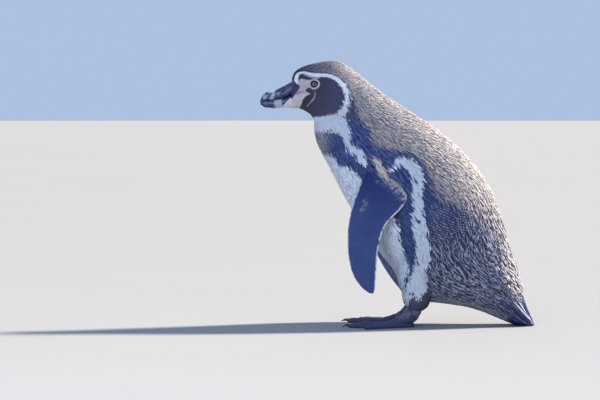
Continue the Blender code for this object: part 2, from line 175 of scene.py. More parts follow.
# The coat from the bill's root to the tail: station, depth of the feathers over the skin, their
# length, their width, and the distance between their roots along and across
COAT = (
    (0, 0.8, 2.4, 0.8, 1.05, 0.68),
    (3, 1.4, 3.8, 1.1, 1.30, 0.80),
    (7, 2.1, 6.5, 1.5, 2.30, 0.98),
    (10, 3.0, 9.5, 1.9, 3.40, 1.20),
    (13, 4.0, 15.5, 2.2, 6.2, 1.36),
    (20, 4.2, 17.5, 2.3, 6.6, 1.42),
    (23, 2.8, 16.0, 2.5, 6.0, 1.55),
    (26, 1.2, 12.0, 3.0, 5.0, 1.90),
)
# Stations where the roots of the body's feathers start and end, and those of the tail's start
FIRST_BODY_FEATHER = 0.06
LAST_BODY_FEATHER = 24.2
FIRST_TAIL_FEATHER = 21.8
# Stations where the pieces of the face and of the cheek end
FACE_END = 4.2
CHEEK_END = 6.4
TAIL_LENGTH = 4.2  # of its longest feathers, in stations as far apart as at their roots
WORN_STATIONS = (18.5, 22.6)
FLIPPER_COAT = 0.7 * MM
LEG_COAT = 2.2 * MM
STATION_LENGTH = 24 * MM  # a typical distance between stations, and a typical girth
GIRTH = 520 * MM
# Layers of tail feathers: the turn of their middle, half spread in turns, number, length and lift in mm
TAIL_LAYERS = (
    (0.0, 0.33, 17, 1.0, 0.2), (0.0, 0.30, 16, 0.84, 1.3), (0.0, 0.26, 13, 0.68, 2.2),
    (0.5, 0.2, 10, 0.9, -0.2),
)

# Outlines of the markings seen from the side, in y and z
UNDERPARTS = (
    (-140, 343.5), (-118, 345), (-92, 350), (-84, 342), (-80.5, 330), (-77, 320), (-76.5, 306),
    (-75, 297), (-69, 292.5), (-62, 291), (-57, 286), (-53, 279), (-49.5, 271), (-47, 262), (-40, 255),
    (-14, 255), (-7.5, 260), (-5.5, 268), (1, 275), (14, 277), (22, 273.5), (31, 267.5), (38.5, 257),
    (43.5, 247), (44.5, 236), (41.5, 223), (39.5, 210), (43, 192), (41, 179), (46, 166), (45.5, 153),
    (50, 135), (53, 122), (51, 108), (47, 92), (50, 76), (47, 61), (42, 47), (36, 34), (27, 20), (0, 20),
    (-40, 55), (-60, 105), (-125, 190), (-165, 280), (-165, 340),
)
BAND = (
    (-165, 322), (-144, 321), (-132, 317), (-120, 317), (-107, 318.5), (-96.5, 315), (-89.5, 309.5),
    (-86, 300.5), (-84, 291.5), (-81.5, 285), (-76, 283), (-69.5, 279), (-62.5, 267), (-52, 262.5),
    (-42, 252), (-14, 246), (1.6, 261.5), (12, 260.5), (18.5, 253), (24, 244), (25, 231), (23.8, 218),
    (25, 205), (23.8, 187), (25, 171), (27.7, 153), (29, 130), (28, 112), (29, 106), (26, 95), (19, 84),
    (13.4, 70), (9.5, 52), (7.5, 64), (11, 73), (15, 89), (17.5, 105), (12.5, 114), (7.5, 129),
    (4.5, 146), (3.5, 156), (0, 166), (-7, 181), (-14, 196), (-28, 215), (-57, 241), (-70, 250),
    (-77, 257), (-85, 260.5), (-94, 260.5), (-99, 269), (-105, 277), (-114, 279.5), (-123, 281),
    (-135, 288), (-165, 288),
)
MASK = (
    (-161.6, 409.3), (-161.6, 414.3), (-158, 415.8), (-153.6, 415.5), (-146, 413.6), (-142, 411.9),
    (-137, 410.5), (-127, 409.6), (-118, 409.9), (-106.5, 406), (-97.4, 400), (-89.4, 389), (-86, 377.5),
    (-87.1, 366), (-90.5, 357), (-99.6, 349), (-115.6, 345.5), (-127, 343.3), (-137, 343), (-150, 341),
    (-170, 350), (-170, 362), (-158.2, 364), (-153, 374), (-146, 380), (-143, 382.3), (-150, 386),
    (-148, 391), (-145, 399), (-147, 404), (-154, 406), (-159, 408.3),
)
FROSTED = (
    (-176, 450), (-166, 421), (-152, 420), (-135, 417.5), (-112, 415), (-98, 410), (-84, 397), (-75, 380),
    (-70, 362), (-66, 346), (-62, 337), (-46, 320), (-44, 304), (-32, 291), (-11, 286.5), (7, 286),
    (25, 281), (39, 270), (51, 249), (56.5, 223), (67, 203), (88, 188), (110, 178), (132, 163),
    (150, 142), (160, 119), (163, 95), (168, 68), (180, 42), (198, 12), (260, 10), (260, 300), (100, 400),
    (-60, 480),
)
# The flipper's upper arm where it lies under the body's coat, and the pale patch on it
ARM = (
    (-49.5, 279), (-40, 282), (-30, 279), (-22, 264), (-12, 248), (2, 238), (12, 220), (-10, 200),
    (-62, 200), (-60, 240), (-51, 258), (-49, 268),
)
ARM_PATCH = (
    (-42, 276), (-35, 278), (-28, 274), (-23, 265), (-17, 253), (-9, 242), (2, 233), (12, 219), (7, 212),
    (-6, 224), (-17, 235), (-25, 243), (-33, 252), (-39, 263),
)
ARM_PAD = ((-35, 264), (-28, 234), 15)  # the middle line of the swelling over it, and its half width
ARM_PAD_HEIGHT = 7 * MM
# The bare face: from the horn's edge to the eye, and from the gape along the lower jaw
LORES = (
    (-163.5, 397.6), (-163, 402), (-160, 407.3), (-155.9, 407.2), (-152, 406.0), (-147, 405.2),
    (-143.5, 405.6), (-138, 404.6), (-132, 401), (-131, 396), (-135, 392.5), (-142.2, 392.8),
    (-146, 392.6), (-148.5, 391.2), (-150.8, 388.4), (-152, 385.6), (-156, 385.2), (-161.2, 383.4),
    (-165, 382), (-167, 383), (-165, 385.6), (-162, 389.4), (-160, 394), (-162, 396.6),
)
GAPE = (
    (-186, 371), (-176.4, 371), (-171.8, 376.3), (-168.8, 380.4), (-166.5, 382.6), (-164, 382),
    (-161.2, 383.4), (-157.4, 385), (-153.5, 386.4), (-150, 386), (-146, 383.8), (-142.5, 382.2),
    (-146, 380), (-149.8, 378.4), (-152.1, 376.3), (-154.4, 372.8), (-156.4, 371), (-156.6, 367),
    (-158.4, 362.6), (-160.8, 359), (-163, 355), (-165, 350), (-186, 350),
)
FACE_HORN = (
    (-184, 408), (-173, 405), (-169.5, 403), (-167.4, 400.4), (-165, 398.3), (-162, 396.8),
    (-160.2, 394.1), (-162, 389.4), (-165, 385.4), (-166.5, 383), (-168.8, 380.6), (-171.8, 376.3),
    (-175, 372.5), (-184, 369),
)
# Stripes: y, z and half width along each
BROW_STRIPE = (
    (-164, 400.5, 2.4), (-165.4, 406, 3.3), (-164.8, 411, 3.0), (-161.5, 415.6, 2.1), (-156, 417.3, 1.8),
    (-150.6, 417.1, 2.0), (-145, 415.5, 2.3), (-139, 413.8, 2.9), (-128, 413, 3.2), (-118.6, 412.5, 2.9),
    (-111, 411, 2.9), (-101.5, 406.6, 3.2), (-91.7, 398.6, 4.0), (-84.4, 387.7, 4.5), (-81.2, 377.4, 4.6),
    (-82.1, 366.5, 4.9), (-85.5, 355.8, 5.8), (-91, 348, 7),
)
BROW_SHADE = (
    (-153, 413.5, 0.6), (-147, 412.5, 1.4), (-140, 410.2, 1.8), (-134, 408.8, 1.8), (-127, 408.5, 1.0),
)
CHEEK_LINE = (
    (-134.6, 386.4, 0.4), (-134.6, 378.5, 0.9), (-137.6, 372.8, 1.1), (-142.6, 366.6, 1.0),
    (-148.0, 361.2, 0.7),
)
MOUTH_LINE = (
    (-182, 377.6, 0.6), (-174, 380.4, 0.8), (-166.5, 382.7, 1.0), (-164.2, 382.2, 1.0),
    (-161.2, 383.5, 0.9), (-157.4, 385, 0.75), (-153.5, 386.3, 0.5),
)
SPOTS = (
    (31, 236.3, 2.4), (33.7, 171.9, 2.4), (21.9, 55, 2.8), (36, 205, 1.4), (37, 149, 1.5), (33, 102, 1.3),
)
RUMP_EDGE = ((173, 114, 11), (181, 100, 17), (189, 86, 16), (195, 74, 9))
# The lower outline behind the legs
UNDERSIDE = ((22, 46), (47, 40), (82, 35.5), (120, 29), (152, 18), (178, 7.5), (200, 0))

# Lines on the bill's sides: y, z and half width along each, which is nothing for a groove or a seam
NOSTRIL_GROOVE = ((-175, 391.5, 0), (-184, 387.6, 0), (-193, 383, 0), (-200, 377.5, 0), (-205, 373, 0))
NOSTRIL = ((-184.5, 388.4, 0.7), (-187.5, 386.6, 0.9), (-190.5, 384.6, 0.6))
NAIL_SEAM = ((-206, 387, 0), (-208.5, 381, 0), (-207.5, 375, 0), (-204, 371, 0))
LOWER_GROOVE = ((-173, 368, 0), (-186, 365, 0), (-197, 363.5, 0), (-206, 362.5, 0))
LOWER_SEAM = ((-179, 375.5, 0), (-183, 370, 0), (-188, 364.5, 0), (-193.5, 358, 0))
# In metres, the horn's worn bands: y of the front and back edge at the mouth's level, and how far they
# lean back with height. The upper half's pale spots, partly worn and partly painted highlights: y, z
# and radius. The lower half's edge of bare skin: y, z and slope. The mouth's height, and y and z of
# the corner of the gape.
UPPER_BAND = (-0.2095, -0.2040, 0.2)
LOWER_BAND = (-0.2030, -0.1905, -0.1)
WORN_AND_HIGHLIGHT_SPOTS = ((-0.2180, 0.3770, 0.0048), (-0.2105, 0.3868, 0.0040), (-0.1955, 0.3825, 0.0017))
BARE_EDGE = (-0.1835, 0.3675, 0.95)
MOUTH_LEVEL = 0.372
GAPE_CORNER = (-0.148, 0.375)
# The eye's rings: the pupil's edge and the dark rim's, each as where it starts and ends, in millimetres
PUPIL_EDGE = (1.5, 2.0)
RIM_EDGE = (2.8, 3.5)

# The view and the light: places in metres
AIM = np.array((0, -0.160, 0.207))
CAMERA_DISTANCE = 4.95
CAMERA_RISE = math.radians(2)
LENS, SENSOR = 180, 36
FLOOR_RADIUS = 40
FLOOR_CORNERS = 64
LIT_POINT = (0, 0, 0.22)
SUN_PLACE, SUN_STRENGTH, SUN_WIDTH = (-0.85, 2.4, 2.3), 10.5, math.radians(7)
FILL_PLACE, FILL_STRENGTH, FILL_SIZE = (3.2, -1.4, 1.5), 50, 1.3
SKY_STRENGTH = 0.74


def spline(rows, at):
    """Natural cubic curve through equally spaced rows, read at the places `at` (0 is the first row)."""
    rows = np.array(rows, float)
    last = len(rows) - 1
    bend = np.zeros_like(rows)
    system = 4 * np.eye(last - 1) + np.eye(last - 1, k=1) + np.eye(last - 1, k=-1)
    bend[1:-1] = np.linalg.solve(system, 6 * (rows[:-2] - 2 * rows[1:-1] + rows[2:]))
    low = np.clip(np.floor(at).astype(int), 0, last - 1)
    t = (at - low)[..., None]
    s = 1 - t
    straight = s * rows[low] + t * rows[low + 1]
    return straight + ((s**3 - s) * bend[low] + (t**3 - t) * bend[low + 1]) / 6


def section_point(table, u, v, grow):
    """Points of a form between two outlines: u is the section and v the turn from the upper line by +X.

    A section is a superellipse about its widest level: each of its two axes carries a signed power of
    the turn's cosine or sine. `grow` moves the surface outwards.
    """
    u, v, grow = np.broadcast_arrays(np.asarray(u, float), v, grow)
    columns = np.moveaxis(spline(list(table.values()), u), -1, 0)
    upper_y, upper_z, lower_y, lower_z, half, widest, square = columns[:7]
    across_y, across_z = lower_y - upper_y, lower_z - upper_z
    span = np.hypot(across_y, across_z)
    inset = np.maximum(grow / MM, -0.4 * span)  # a thin form keeps a fifth of its depth
    half = np.maximum(half * MM + grow, 0.15 * half * MM)
    cosine, sine = np.cos(2 * math.pi * v), np.sin(2 * math.pi * v)
    up = np.sign(cosine) * np.abs(cosine) ** (2 / square)
    side = np.sign(sine) * np.abs(sine) ** (2 / square)
    top, bottom = -inset, span + inset
    level = top + (bottom - top) * widest
    down = level - up * np.where(up > 0, level - top, bottom - level)
    y = upper_y + across_y / span * down
    z = upper_z + across_z / span * down
    return np.stack((side * half, y * MM, z * MM), -1)


def body_point(u, v, grow):
    """A point of the body: its section, drawn in round each eye, swollen over the upper arms, off the floor.

    The swelling rises with an S over the depth inside a band of even width round a short line.
    """
    points = section_point(BODY, u, v, grow)
    start, end, half = np.array(ARM_PAD[0]) * MM, np.array(ARM_PAD[1]) * MM, ARM_PAD[2] * MM
    inside = half - nearest(start, end, points[..., 1], points[..., 2])[1]
    points[..., 0] += np.sign(points[..., 0]) * ARM_PAD_HEIGHT * smooth(0, 6 * MM, inside)
    away = np.hypot(points[..., 1] - EYE_CENTRE[1], points[..., 2] - EYE_CENTRE[2])
    points[..., 0] -= np.sign(points[..., 0]) * SOCKET_DENT * bell(away, SOCKET_REACH)
    points[..., 2] = np.maximum(points[..., 2], FLOOR_GAP)
    return points


def left_flipper(u, v, grow):
    """A point of the left flipper: its section, carried out from the body."""
    points = section_point(FLIPPER, u, v, grow)
    out = spline(list(FLIPPER.values()), np.asarray(u, float))[..., 7] * MM
    points[..., 0] += out
    return points


def turned_flipper(u, v, grow):
    """The left flipper turned about an upright line, hung lower and swung back about the shoulder.

    The turn grows over most of its length and the swing over its first third. A third of the drop is
    there at the shoulder already, and all of it from the middle on.
    """
    points = left_flipper(u, v, grow)
    along = np.broadcast_to(u, points.shape[:-1]) / (len(FLIPPER) - 1)
    middle = spline(list(FLIPPER.values()), along * (len(FLIPPER) - 1))[..., 7] * MM
    twist = RIGHT_TWIST * np.clip(along * 1.25 - 0.1, 0, 1)
    bent = np.clip(along * 3, 0, 1)
    x, y = points[..., 0] - middle, points[..., 1] - SHOULDER[0]
    points[..., 0] = middle + np.cos(twist) * x - np.sin(twist) * y
    y = np.sin(twist) * x + np.cos(twist) * y
    z = points[..., 2] - RIGHT_DROP * (0.35 + 0.65 * np.clip(along * 2, 0, 1)) - SHOULDER[1]
    swing = RIGHT_SWING * bent
    points[..., 1] = SHOULDER[0] + np.cos(swing) * y - np.sin(swing) * z
    points[..., 2] = SHOULDER[1] + np.sin(swing) * y + np.cos(swing) * z
    return points


def drawn_in():
    """How far the turned flipper's end is drawn in, so that it reaches as far out as the left one."""
    station = np.linspace(0, len(FLIPPER) - 1, 20)[:, None]
    turn = np.arange(16)[None] / 16
    room = left_flipper(station, turn, 0)[..., 0].max() - turned_flipper(station, turn, 0)[1:, :, 0]
    return (room / np.linspace(0, 1, 20)[1:, None]).min()


DRAWN_IN = drawn_in()


def right_flipper(u, v, grow):
    """A point of the right flipper: the turned one, drawn in evenly towards its tip and mirrored."""
    points = turned_flipper(u, v, grow)
    along = np.broadcast_to(u, points.shape[:-1]) / (len(FLIPPER) - 1)
    points[..., 0] = -(points[..., 0] + along * DRAWN_IN)
    return points


def leg_point(side):
    """The surface of one leg: a turned lump, a little longer than wide, from the belly to its hem."""

    def surface(u, v, grow):
        u, v, grow = np.broadcast_arrays(np.asarray(u, float), v, grow)
        height, radius, middle = np.moveaxis(spline(LEG, u), -1, 0) * MM
        radius = np.maximum(radius + grow, 1 * MM)
        x = side * (LEG_CENTRE[0] + radius * np.cos(2 * math.pi * v))
        y = middle + LEG_LONGER * radius * np.sin(2 * math.pi * v)
        return np.stack((x, y, height), -1)

    return surface


def foot_place(points, side):
    """Carries points of a left foot, drawn straight ahead of its ankle, to the left or right foot."""
    x, y, z = np.moveaxis(points, -1, 0)
    out_x = ANKLE_CENTRE[0] + math.cos(TOE_OUT) * x - math.sin(TOE_OUT) * y
    out_y = ANKLE_CENTRE[1] + math.sin(TOE_OUT) * x + math.cos(TOE_OUT) * y
    return np.stack((side * out_x, out_y, z), -1)


# ---------------------------------------------------------------- numbers over a surface


def smooth(low, high, value):
    """0 up to `low`, 1 from `high`, and a soft S between."""
    t = np.clip((value - low) / (high - low), 0, 1)
    return t * t * (3 - 2 * t)


def bell(away, breadth):
    """1 in the middle, falling off to both sides: 0.37 a `breadth` away, and soon next to nothing."""
    return np.exp(-((away / breadth) ** 2))


def ring(count):
    """The angles of evenly spaced points round a ring."""
    return np.arange(count) * 2 * math.pi / count


def vectors(x, y, z):
    """One array of places, or of a surface's values, from three arrays of numbers."""
    return np.stack(np.broadcast_arrays(x, y, z), -1)


def nearest(start, end, y, z):
    """The share of a straight line, from start to end, where it passes nearest a point, and how near."""
    run_y, run_z = end[0] - start[0], end[1] - start[1]
    off_y, off_z = y - start[0], z - start[1]
    share = np.clip((off_y * run_y + off_z * run_z) / (run_y**2 + run_z**2), 0, 1)
    return share, np.hypot(off_y - share * run_y, off_z - share * run_z)


def waves(places, pitch, seed, count=9):
    """Uneven waves of about one pitch, mostly between -1 and 1: a sum of sines in scattered directions."""
    chance = np.random.default_rng(seed)
    total = 0
    for _ in range(count):
        direction = chance.normal(size=3)
        direction *= 2 * math.pi * chance.uniform(0.6, 1.5) / (pitch * np.linalg.norm(direction))
        total = total + np.sin(places @ direction + chance.uniform(0, 2 * math.pi))
    return total * math.sqrt(2 / count) / 1.6


def rounded(outline):
    """A closed outline with its corners cut twice, in metres."""
    corners = np.array(outline) * MM
    for _ in range(2):
        ahead = np.roll(corners, -1, axis=0)
        corners = np.stack((0.75 * corners + 0.25 * ahead, 0.25 * corners + 0.75 * ahead), 1).reshape(-1, 2)
    return corners


def depth_inside(outline, y, z):
    """How far a point lies inside an outline, negative outside: the distance to the nearest of its sides."""
    corners = rounded(outline)
    gap = np.full(np.shape(y), np.inf)
    inside = np.zeros(np.shape(y), bool)
    for start, end in zip(corners, np.roll(corners, -1, axis=0)):
        gap = np.minimum(gap, nearest(start, end, y, z)[1])
        run_y, run_z = end - start
        crosses = (start[1] > z) != (end[1] > z)
        inside ^= crosses & (y < start[0] + (z - start[1]) * run_y / (run_z if run_z else 1))
    return np.where(inside, gap, -gap)


def depth_in_stripe(path, y, z):
    """How far a point lies inside a stripe, negative outside: the half width less the distance to it."""
    path = spline(path, np.linspace(0, len(path) - 1, 6 * len(path))) * MM
    best = np.full(np.shape(y), -np.inf)
    for start, end in zip(path, path[1:]):
        share, gap = nearest(start, end, y, z)
        best = np.maximum(best, start[2] + share * (end[2] - start[2]) - gap)
    return best


def coat_at(u):
    """Depth, length, width, and spacings along and across of the coat at a station of the body."""
    station, *columns = np.array(COAT, float).T
    return [np.interp(u, station, column) * MM for column in columns]


def marks(places, stray, soft):
    """The coat's markings: shares of white, of slate instead of brown, and of pale frosting on the tips.

    Each edge lies where the depth inside an outline, plus the place's own `stray`, is zero. It is `soft`
    wide or wider, and strays less on the head. Behind the legs white also fades up from the lower
    outline. In front the breast band is faded. The frosted back ends softly below, and slate keeps out
    of it. Frosting is thinner on the crown, the flank and the tail, and thinnest under the worn rump.
    """
    y, z = places[..., 1], places[..., 2]
    under = depth_inside(UNDERPARTS, y, z) + stray
    band = depth_inside(BAND, y, z) + stray
    ragged = stray * (0.4 + 0.4 * smooth(-125 * MM, -95 * MM, y))
    mask = depth_inside(MASK, y, z) + ragged
    brow = depth_in_stripe(BROW_STRIPE, y, z) + ragged
    cheek = depth_in_stripe(CHEEK_LINE, y, z) + 0.3 * stray
    frosted = depth_inside(FROSTED, y, z) + stray
    arm = depth_inside(ARM, y, z)
    patch = depth_inside(ARM_PATCH, y, z) + 0.5 * stray
    spot = np.full(np.shape(y), -np.inf)
    for spot_y, spot_z, radius in SPOTS:
        spot = np.maximum(spot, radius * MM - np.hypot(y - spot_y * MM, z - spot_z * MM))

    def share(depth, wide=0.0):
        return np.clip(depth / (soft + wide) + 0.5, 0, 1)

    underside = np.interp(y, *(np.array(UNDERSIDE).T * MM))
    vent = np.minimum(underside + 9 * MM - z + 1.6 * stray, np.minimum(y - 30 * MM, 185 * MM - y))
    faded = smooth(-100 * MM, -125 * MM, y) * smooth(250 * MM, 270 * MM, z)
    dark_band = share(band, 7 * MM * faded * (z < 305 * MM) + 1 * MM) * (1 - 0.14 * faded)
    white = np.maximum(share(under) * (1 - dark_band), share(vent, 5 * MM) * 0.68)
    white = white * (1 - share(spot + 0.4 * stray))
    white = np.maximum(white * (1 - share(mask)) * (1 - share(arm)), share(brow))
    white = np.maximum(white, 0.40 * share(cheek))
    white = np.maximum(white, 0.45 * share(depth_in_stripe(BROW_SHADE, y, z)))
    on_head = smooth(335 * MM, 365 * MM, z)
    fading = (5 + 15 * smooth(225 * MM, 190 * MM, z)) * smooth(275 * MM, 245 * MM, z) * MM
    back = share(frosted - 0.1 * fading, (12 - 9 * on_head) * MM + fading)
    back = back * (1 - share(mask)) * (1 - share(band))
    on_arm = 1.6 * share(patch, 7 * MM) * share(arm)
    worn = np.clip(depth_in_stripe(RUMP_EDGE, y, z) / (8 * MM), 0, 1)
    flank = smooth(40 * MM, 60 * MM, y) * smooth(215 * MM, 190 * MM, z)
    tail = smooth(60 * MM, 35 * MM, z) * smooth(160 * MM, 185 * MM, y)
    low = smooth(130 * MM, 80 * MM, z)
    nape = smooth(-110 * MM, -80 * MM, y)
    front = smooth(-165 * MM, -105 * MM, y)
    frost = back * (1 - on_head * (0.25 * (1 - nape) + 0.35 * (1 - front))) * (1 - 0.3 * tail)
    frost = np.maximum(frost, (0.50 + 0.04 * low) * flank * (1 - 0.6 * tail))
    frost = np.maximum(frost, 0.14 + 0.5 * share(band) * faded)
    frost = np.maximum(frost, on_arm) * (1 - 0.75 * worn)
    low_flank = flank * smooth(190 * MM, 150 * MM, z)
    slate = 1 - np.maximum.reduce([0.85 * back, 0.5 * on_arm, 0.6 * faded, 0.6 * low_flank])
    return np.stack((white, slate, frost), -1)


def bare_face(places, soft):
    """The bare face: shares of pink skin, of horn and of the mouth's line, dark with painted shade."""
    y, z = places[..., 1], places[..., 2]
    pink = np.maximum(depth_inside(LORES, y, z), depth_inside(GAPE, y, z))
    horn = depth_inside(FACE_HORN, y, z)
    mouth = depth_in_stripe(MOUTH_LINE, y, z)
    shares = [np.clip(depth / soft + 0.5, 0, 1) for depth in (pink, horn, mouth)]
    shares[0] = shares[0] * (1 - shares[1])
    return np.stack(shares, -1)


# ---------------------------------------------------------------- meshes


def shell(points, patch, looped=False, kind=0, **values):
    """A closed surface over a stack of rings: quads between rings and a fan to a middle point at each end.

    A looped stack closes on its first ring instead. `patch` is its rectangle in the unwrap, and `kind`
    its material's number. Faces are turned over if the volume they enclose comes out negative.
    """
    rows, columns = points.shape[:2]
    index = np.arange(rows * columns).reshape(rows, columns)
    beside = np.roll(index, -1, axis=1)
    near = slice(None) if looped else slice(0, -1)
    after, after_beside = (np.roll(index, -1, axis=0), np.roll(beside, -1, axis=0))
    quads = np.stack((index, beside, after_beside, after), -1)[near].reshape(-1, 4)
    down, across = np.meshgrid(np.arange(rows) + 1.0, np.arange(columns), indexing="ij")
    corners = [(across + i, down + j) for i, j in ((0, 0), (1, 0), (1, 1), (0, 1))]
    quad_uv = np.stack([np.stack(corner, -1) for corner in corners], 2)[near].reshape(-1, 4, 2)
    flat = points.reshape(-1, 3)
    count = len(flat)
    if looped:
        fans, fan_uv = np.zeros((0, 3), int), np.zeros((0, 3, 2))
    else:
        flat = np.concatenate((flat, points[[0, -1]].mean(1)))
        first = np.stack((np.full(columns, count), beside[0], index[0]), -1)
        last = np.stack((np.full(columns, count + 1), index[-1], beside[-1]), -1)
        fans = np.concatenate((first, last))
        turn, one = np.arange(columns), np.ones(columns)
        near_uv = np.stack((turn + 0.5, 0 * one, turn + 1, one, turn, one), -1)
        far_uv = np.stack((turn + 0.5, (rows + 1) * one, turn, rows * one, turn + 1, rows * one), -1)
        fan_uv = np.concatenate((near_uv, far_uv)).reshape(-1, 3, 2)
        for word, value in values.items():
            values[word] = np.concatenate((value.reshape(-1, 3), value[[0, -1]].mean(1)))
    size = np.array((columns, rows + 1))
    place, scale = np.array(patch[:2]), np.array(patch[2:])
    quad_uv, fan_uv = place + scale * quad_uv / size, place + scale * fan_uv / size
    a, b, c, d = flat[quads].transpose(1, 0, 2)
    volume = (a * np.cross(b, c)).sum() + (a * np.cross(c, d)).sum()
    if volume < 0:
        quads, fans, quad_uv, fan_uv = quads[:, ::-1], fans[:, ::-1], quad_uv[:, ::-1], fan_uv[:, ::-1]
    kinds = np.full(len(quads) + len(fans), kind)
    values = {word: value.reshape(-1, 3) for word, value in values.items()}
    return {"points": flat, "quads": quads, "fans": fans, "quad_uv": quad_uv, "fan_uv": fan_uv,
            "values": values, "kinds": kinds}


def joined(shells):
    """One set of points, corners, face sizes, unwrap, values and kinds from several closed surfaces."""
    start = np.cumsum([0] + [len(part["points"]) for part in shells])
    words = sorted({word for part in shells for word in part["values"]})
    corners, sizes, unwrap = [], [], []
    for part, offset in zip(shells, start):
        corners += [(part["quads"] + offset).ravel(), (part["fans"] + offset).ravel()]
        sizes += [np.full(len(part["quads"]), 4), np.full(len(part["fans"]), 3)]
        unwrap += [part["quad_uv"].reshape(-1, 2), part["fan_uv"].reshape(-1, 2)]
    values = {
        word: np.concatenate([part["values"].get(word, np.zeros_like(part["points"])) for part in shells])
        for word in words
    }
    return (
        np.concatenate([part["points"] for part in shells]), np.concatenate(corners), np.concatenate(sizes),
        np.concatenate(unwrap), values, np.concatenate([part["kinds"] for part in shells]),
    )


def add_piece(name, points, corners, sizes, unwrap, values, kinds, finishes, slot, sharp=180):
    """A mesh object at the origin, riding on the body, from arrays of points and of faces' corners.

    Edges that turn by more than `sharp` degrees are kept sharp.
    """
    mesh = bpy.data.meshes.new(name)
    mesh.vertices.add(len(points))
    mesh.vertices.foreach_set("co", points.astype(np.float32).ravel())
    mesh.loops.add(len(corners))
    mesh.loops.foreach_set("vertex_index", corners.astype(np.int32))
    mesh.polygons.add(len(sizes))
    mesh.polygons.foreach_set("loop_start", (np.cumsum(sizes) - sizes).astype(np.int32))
    if kinds is not None:
        mesh.polygons.foreach_set("material_index", kinds.astype(np.int32))
    mesh.update(calc_edges=True)
    layer = mesh.uv_layers.new(name="OFBake")
    layer.uv.foreach_set("vector", unwrap.astype(np.float32).ravel())
    for word, value in values.items():
        attribute = mesh.attributes.new(word, "FLOAT_VECTOR", "POINT")
        attribute.data.foreach_set("vector", value.astype(np.float32).ravel())
    mesh.shade_smooth()
    if sharp < 180:
        mesh.set_sharp_from_angle(angle=math.radians(sharp))
    for finish in finishes:
        mesh.materials.append(finish)
    piece = bpy.data.objects.new(name, mesh)
    bpy.context.scene.collection.objects.link(piece)
    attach(piece, "root")
    return piece


def add_shells(name, shells, finishes, slot):
    """A piece made of closed surfaces."""
    return add_piece(name, *joined(shells), finishes, slot)


# ---------------------------------------------------------------- feathers


def even(gap):
    """A spacing of roots that is the same everywhere."""
    return lambda u: np.full(np.shape(u), gap)


def scatter(surface, first, last, gap_along, gap_across, seed, loose=0.17):
    """Feather roots in rows over a stretch of a surface, as two arrays u and v.

    Rows lie one `gap_along` apart by the mean distance between rings, and hold as many roots as fit
    `gap_across` apart by length round the ring. Every other row is shifted by half a gap, and each root
    is strayed by a normal share `loose` of both gaps.
    """
    chance = np.random.default_rng(seed)
    fine_u, fine_v = np.linspace(first, last, 400), np.linspace(0, 1, 161)
    grid = surface(fine_u[:, None], fine_v[None], 0)
    steps = np.linalg.norm(np.diff(grid, axis=0), axis=-1).mean(1)
    passed = np.append(0, np.cumsum(steps / gap_along(0.5 * (fine_u[1:] + fine_u[:-1]))))
    row_u = np.interp(np.arange(int(passed[-1])) + 0.5, passed, fine_u)
    rings = surface(row_u[:, None], fine_v[None], 0)
    length = np.cumsum(np.linalg.norm(np.diff(rings, axis=1), axis=-1), axis=1)
    length = np.concatenate((np.zeros((len(row_u), 1)), length), 1)
    each = np.maximum(np.rint(length[:, -1] / gap_across(row_u)).astype(int), 6)
    row = np.repeat(np.arange(len(row_u)), each)
    within = np.arange(len(row)) - np.repeat(np.cumsum(each) - each, each)
    share = (within + 0.5 * (row % 2) + 0.25) / each[row] % 1
    running = length / length[:, -1:] + 2 * np.arange(len(row_u))[:, None]
    root_v = np.interp(share + 2 * row, running.ravel(), np.tile(fine_v, len(row_u)))
    root_u = row_u[row]
    here = surface(root_u, root_v, 0)
    rate_u = np.linalg.norm(surface(root_u + 0.01, root_v, 0) - here, axis=-1) / 0.01
    rate_v = np.linalg.norm(surface(root_u, root_v + 0.01, 0) - here, axis=-1) / 0.01
    stray = chance.normal(0, loose, (2, len(row)))
    root_u = np.clip(root_u + stray[0] * gap_along(root_u) / rate_u, first, last)
    return root_u, (root_v + stray[1] * gap_across(root_u) / rate_v) % 1


def vanes(surface, root_u, root_v, length, width, depth, lift, sweep, along, widths, ridge=0.3, droop=0.15):
    """Feathers over a surface, each a vane of three-cornered sections that end in a tip.

    The middle line leaves the skin `depth` under the surface and rises, as a power of the share of its
    length, to `lift` over it. It runs along the surface's first parameter, turned by `sweep`. A section
    has two edges to the sides and a ridge on top. Gives points as feathers x corners x 3.
    """
    tiny = 1e-3
    here = surface(root_u, root_v, -depth)
    by_u = (surface(root_u + tiny, root_v, -depth) - here) / tiny
    by_v = (surface(root_u, root_v + tiny, -depth) - here) / tiny
    rate_u, rate_v = np.linalg.norm(by_u, axis=-1), np.linalg.norm(by_v, axis=-1)
    out = np.cross(by_u, by_v)
    out *= np.sign((out * (here - surface(root_u, root_v + 0.5, -depth))).sum(-1))[:, None]
    out /= np.linalg.norm(out, axis=-1)[:, None]
    share = np.append(along, 1.0)
    line_u = root_u[:, None] + (length * np.cos(sweep) / rate_u)[:, None] * share
    line_v = root_v[:, None] + (length * np.sin(sweep) / rate_v)[:, None] * share
    level = -depth[:, None] + (lift + depth)[:, None] * share**0.75
    middle = surface(line_u, line_v, level)
    forward = middle[:, -1] - middle[:, 0]
    side = np.cross(out, forward)
    side /= np.linalg.norm(side, axis=-1)[:, None]
    half = (0.5 * width[:, None] * widths)[..., None]
    spine = middle[:, :-1]
    near = spine - side[:, None] * half - out[:, None] * droop * half
    top = spine + out[:, None] * ridge * half
    far = spine + side[:, None] * half - out[:, None] * droop * half
    rows = np.stack((near, top, far), 2).reshape(len(root_u), -1, 3)
    points = np.concatenate((rows, middle[:, -1:]), 1)
    points[..., 2] = np.maximum(points[..., 2], FLOOR_GAP)
    return points


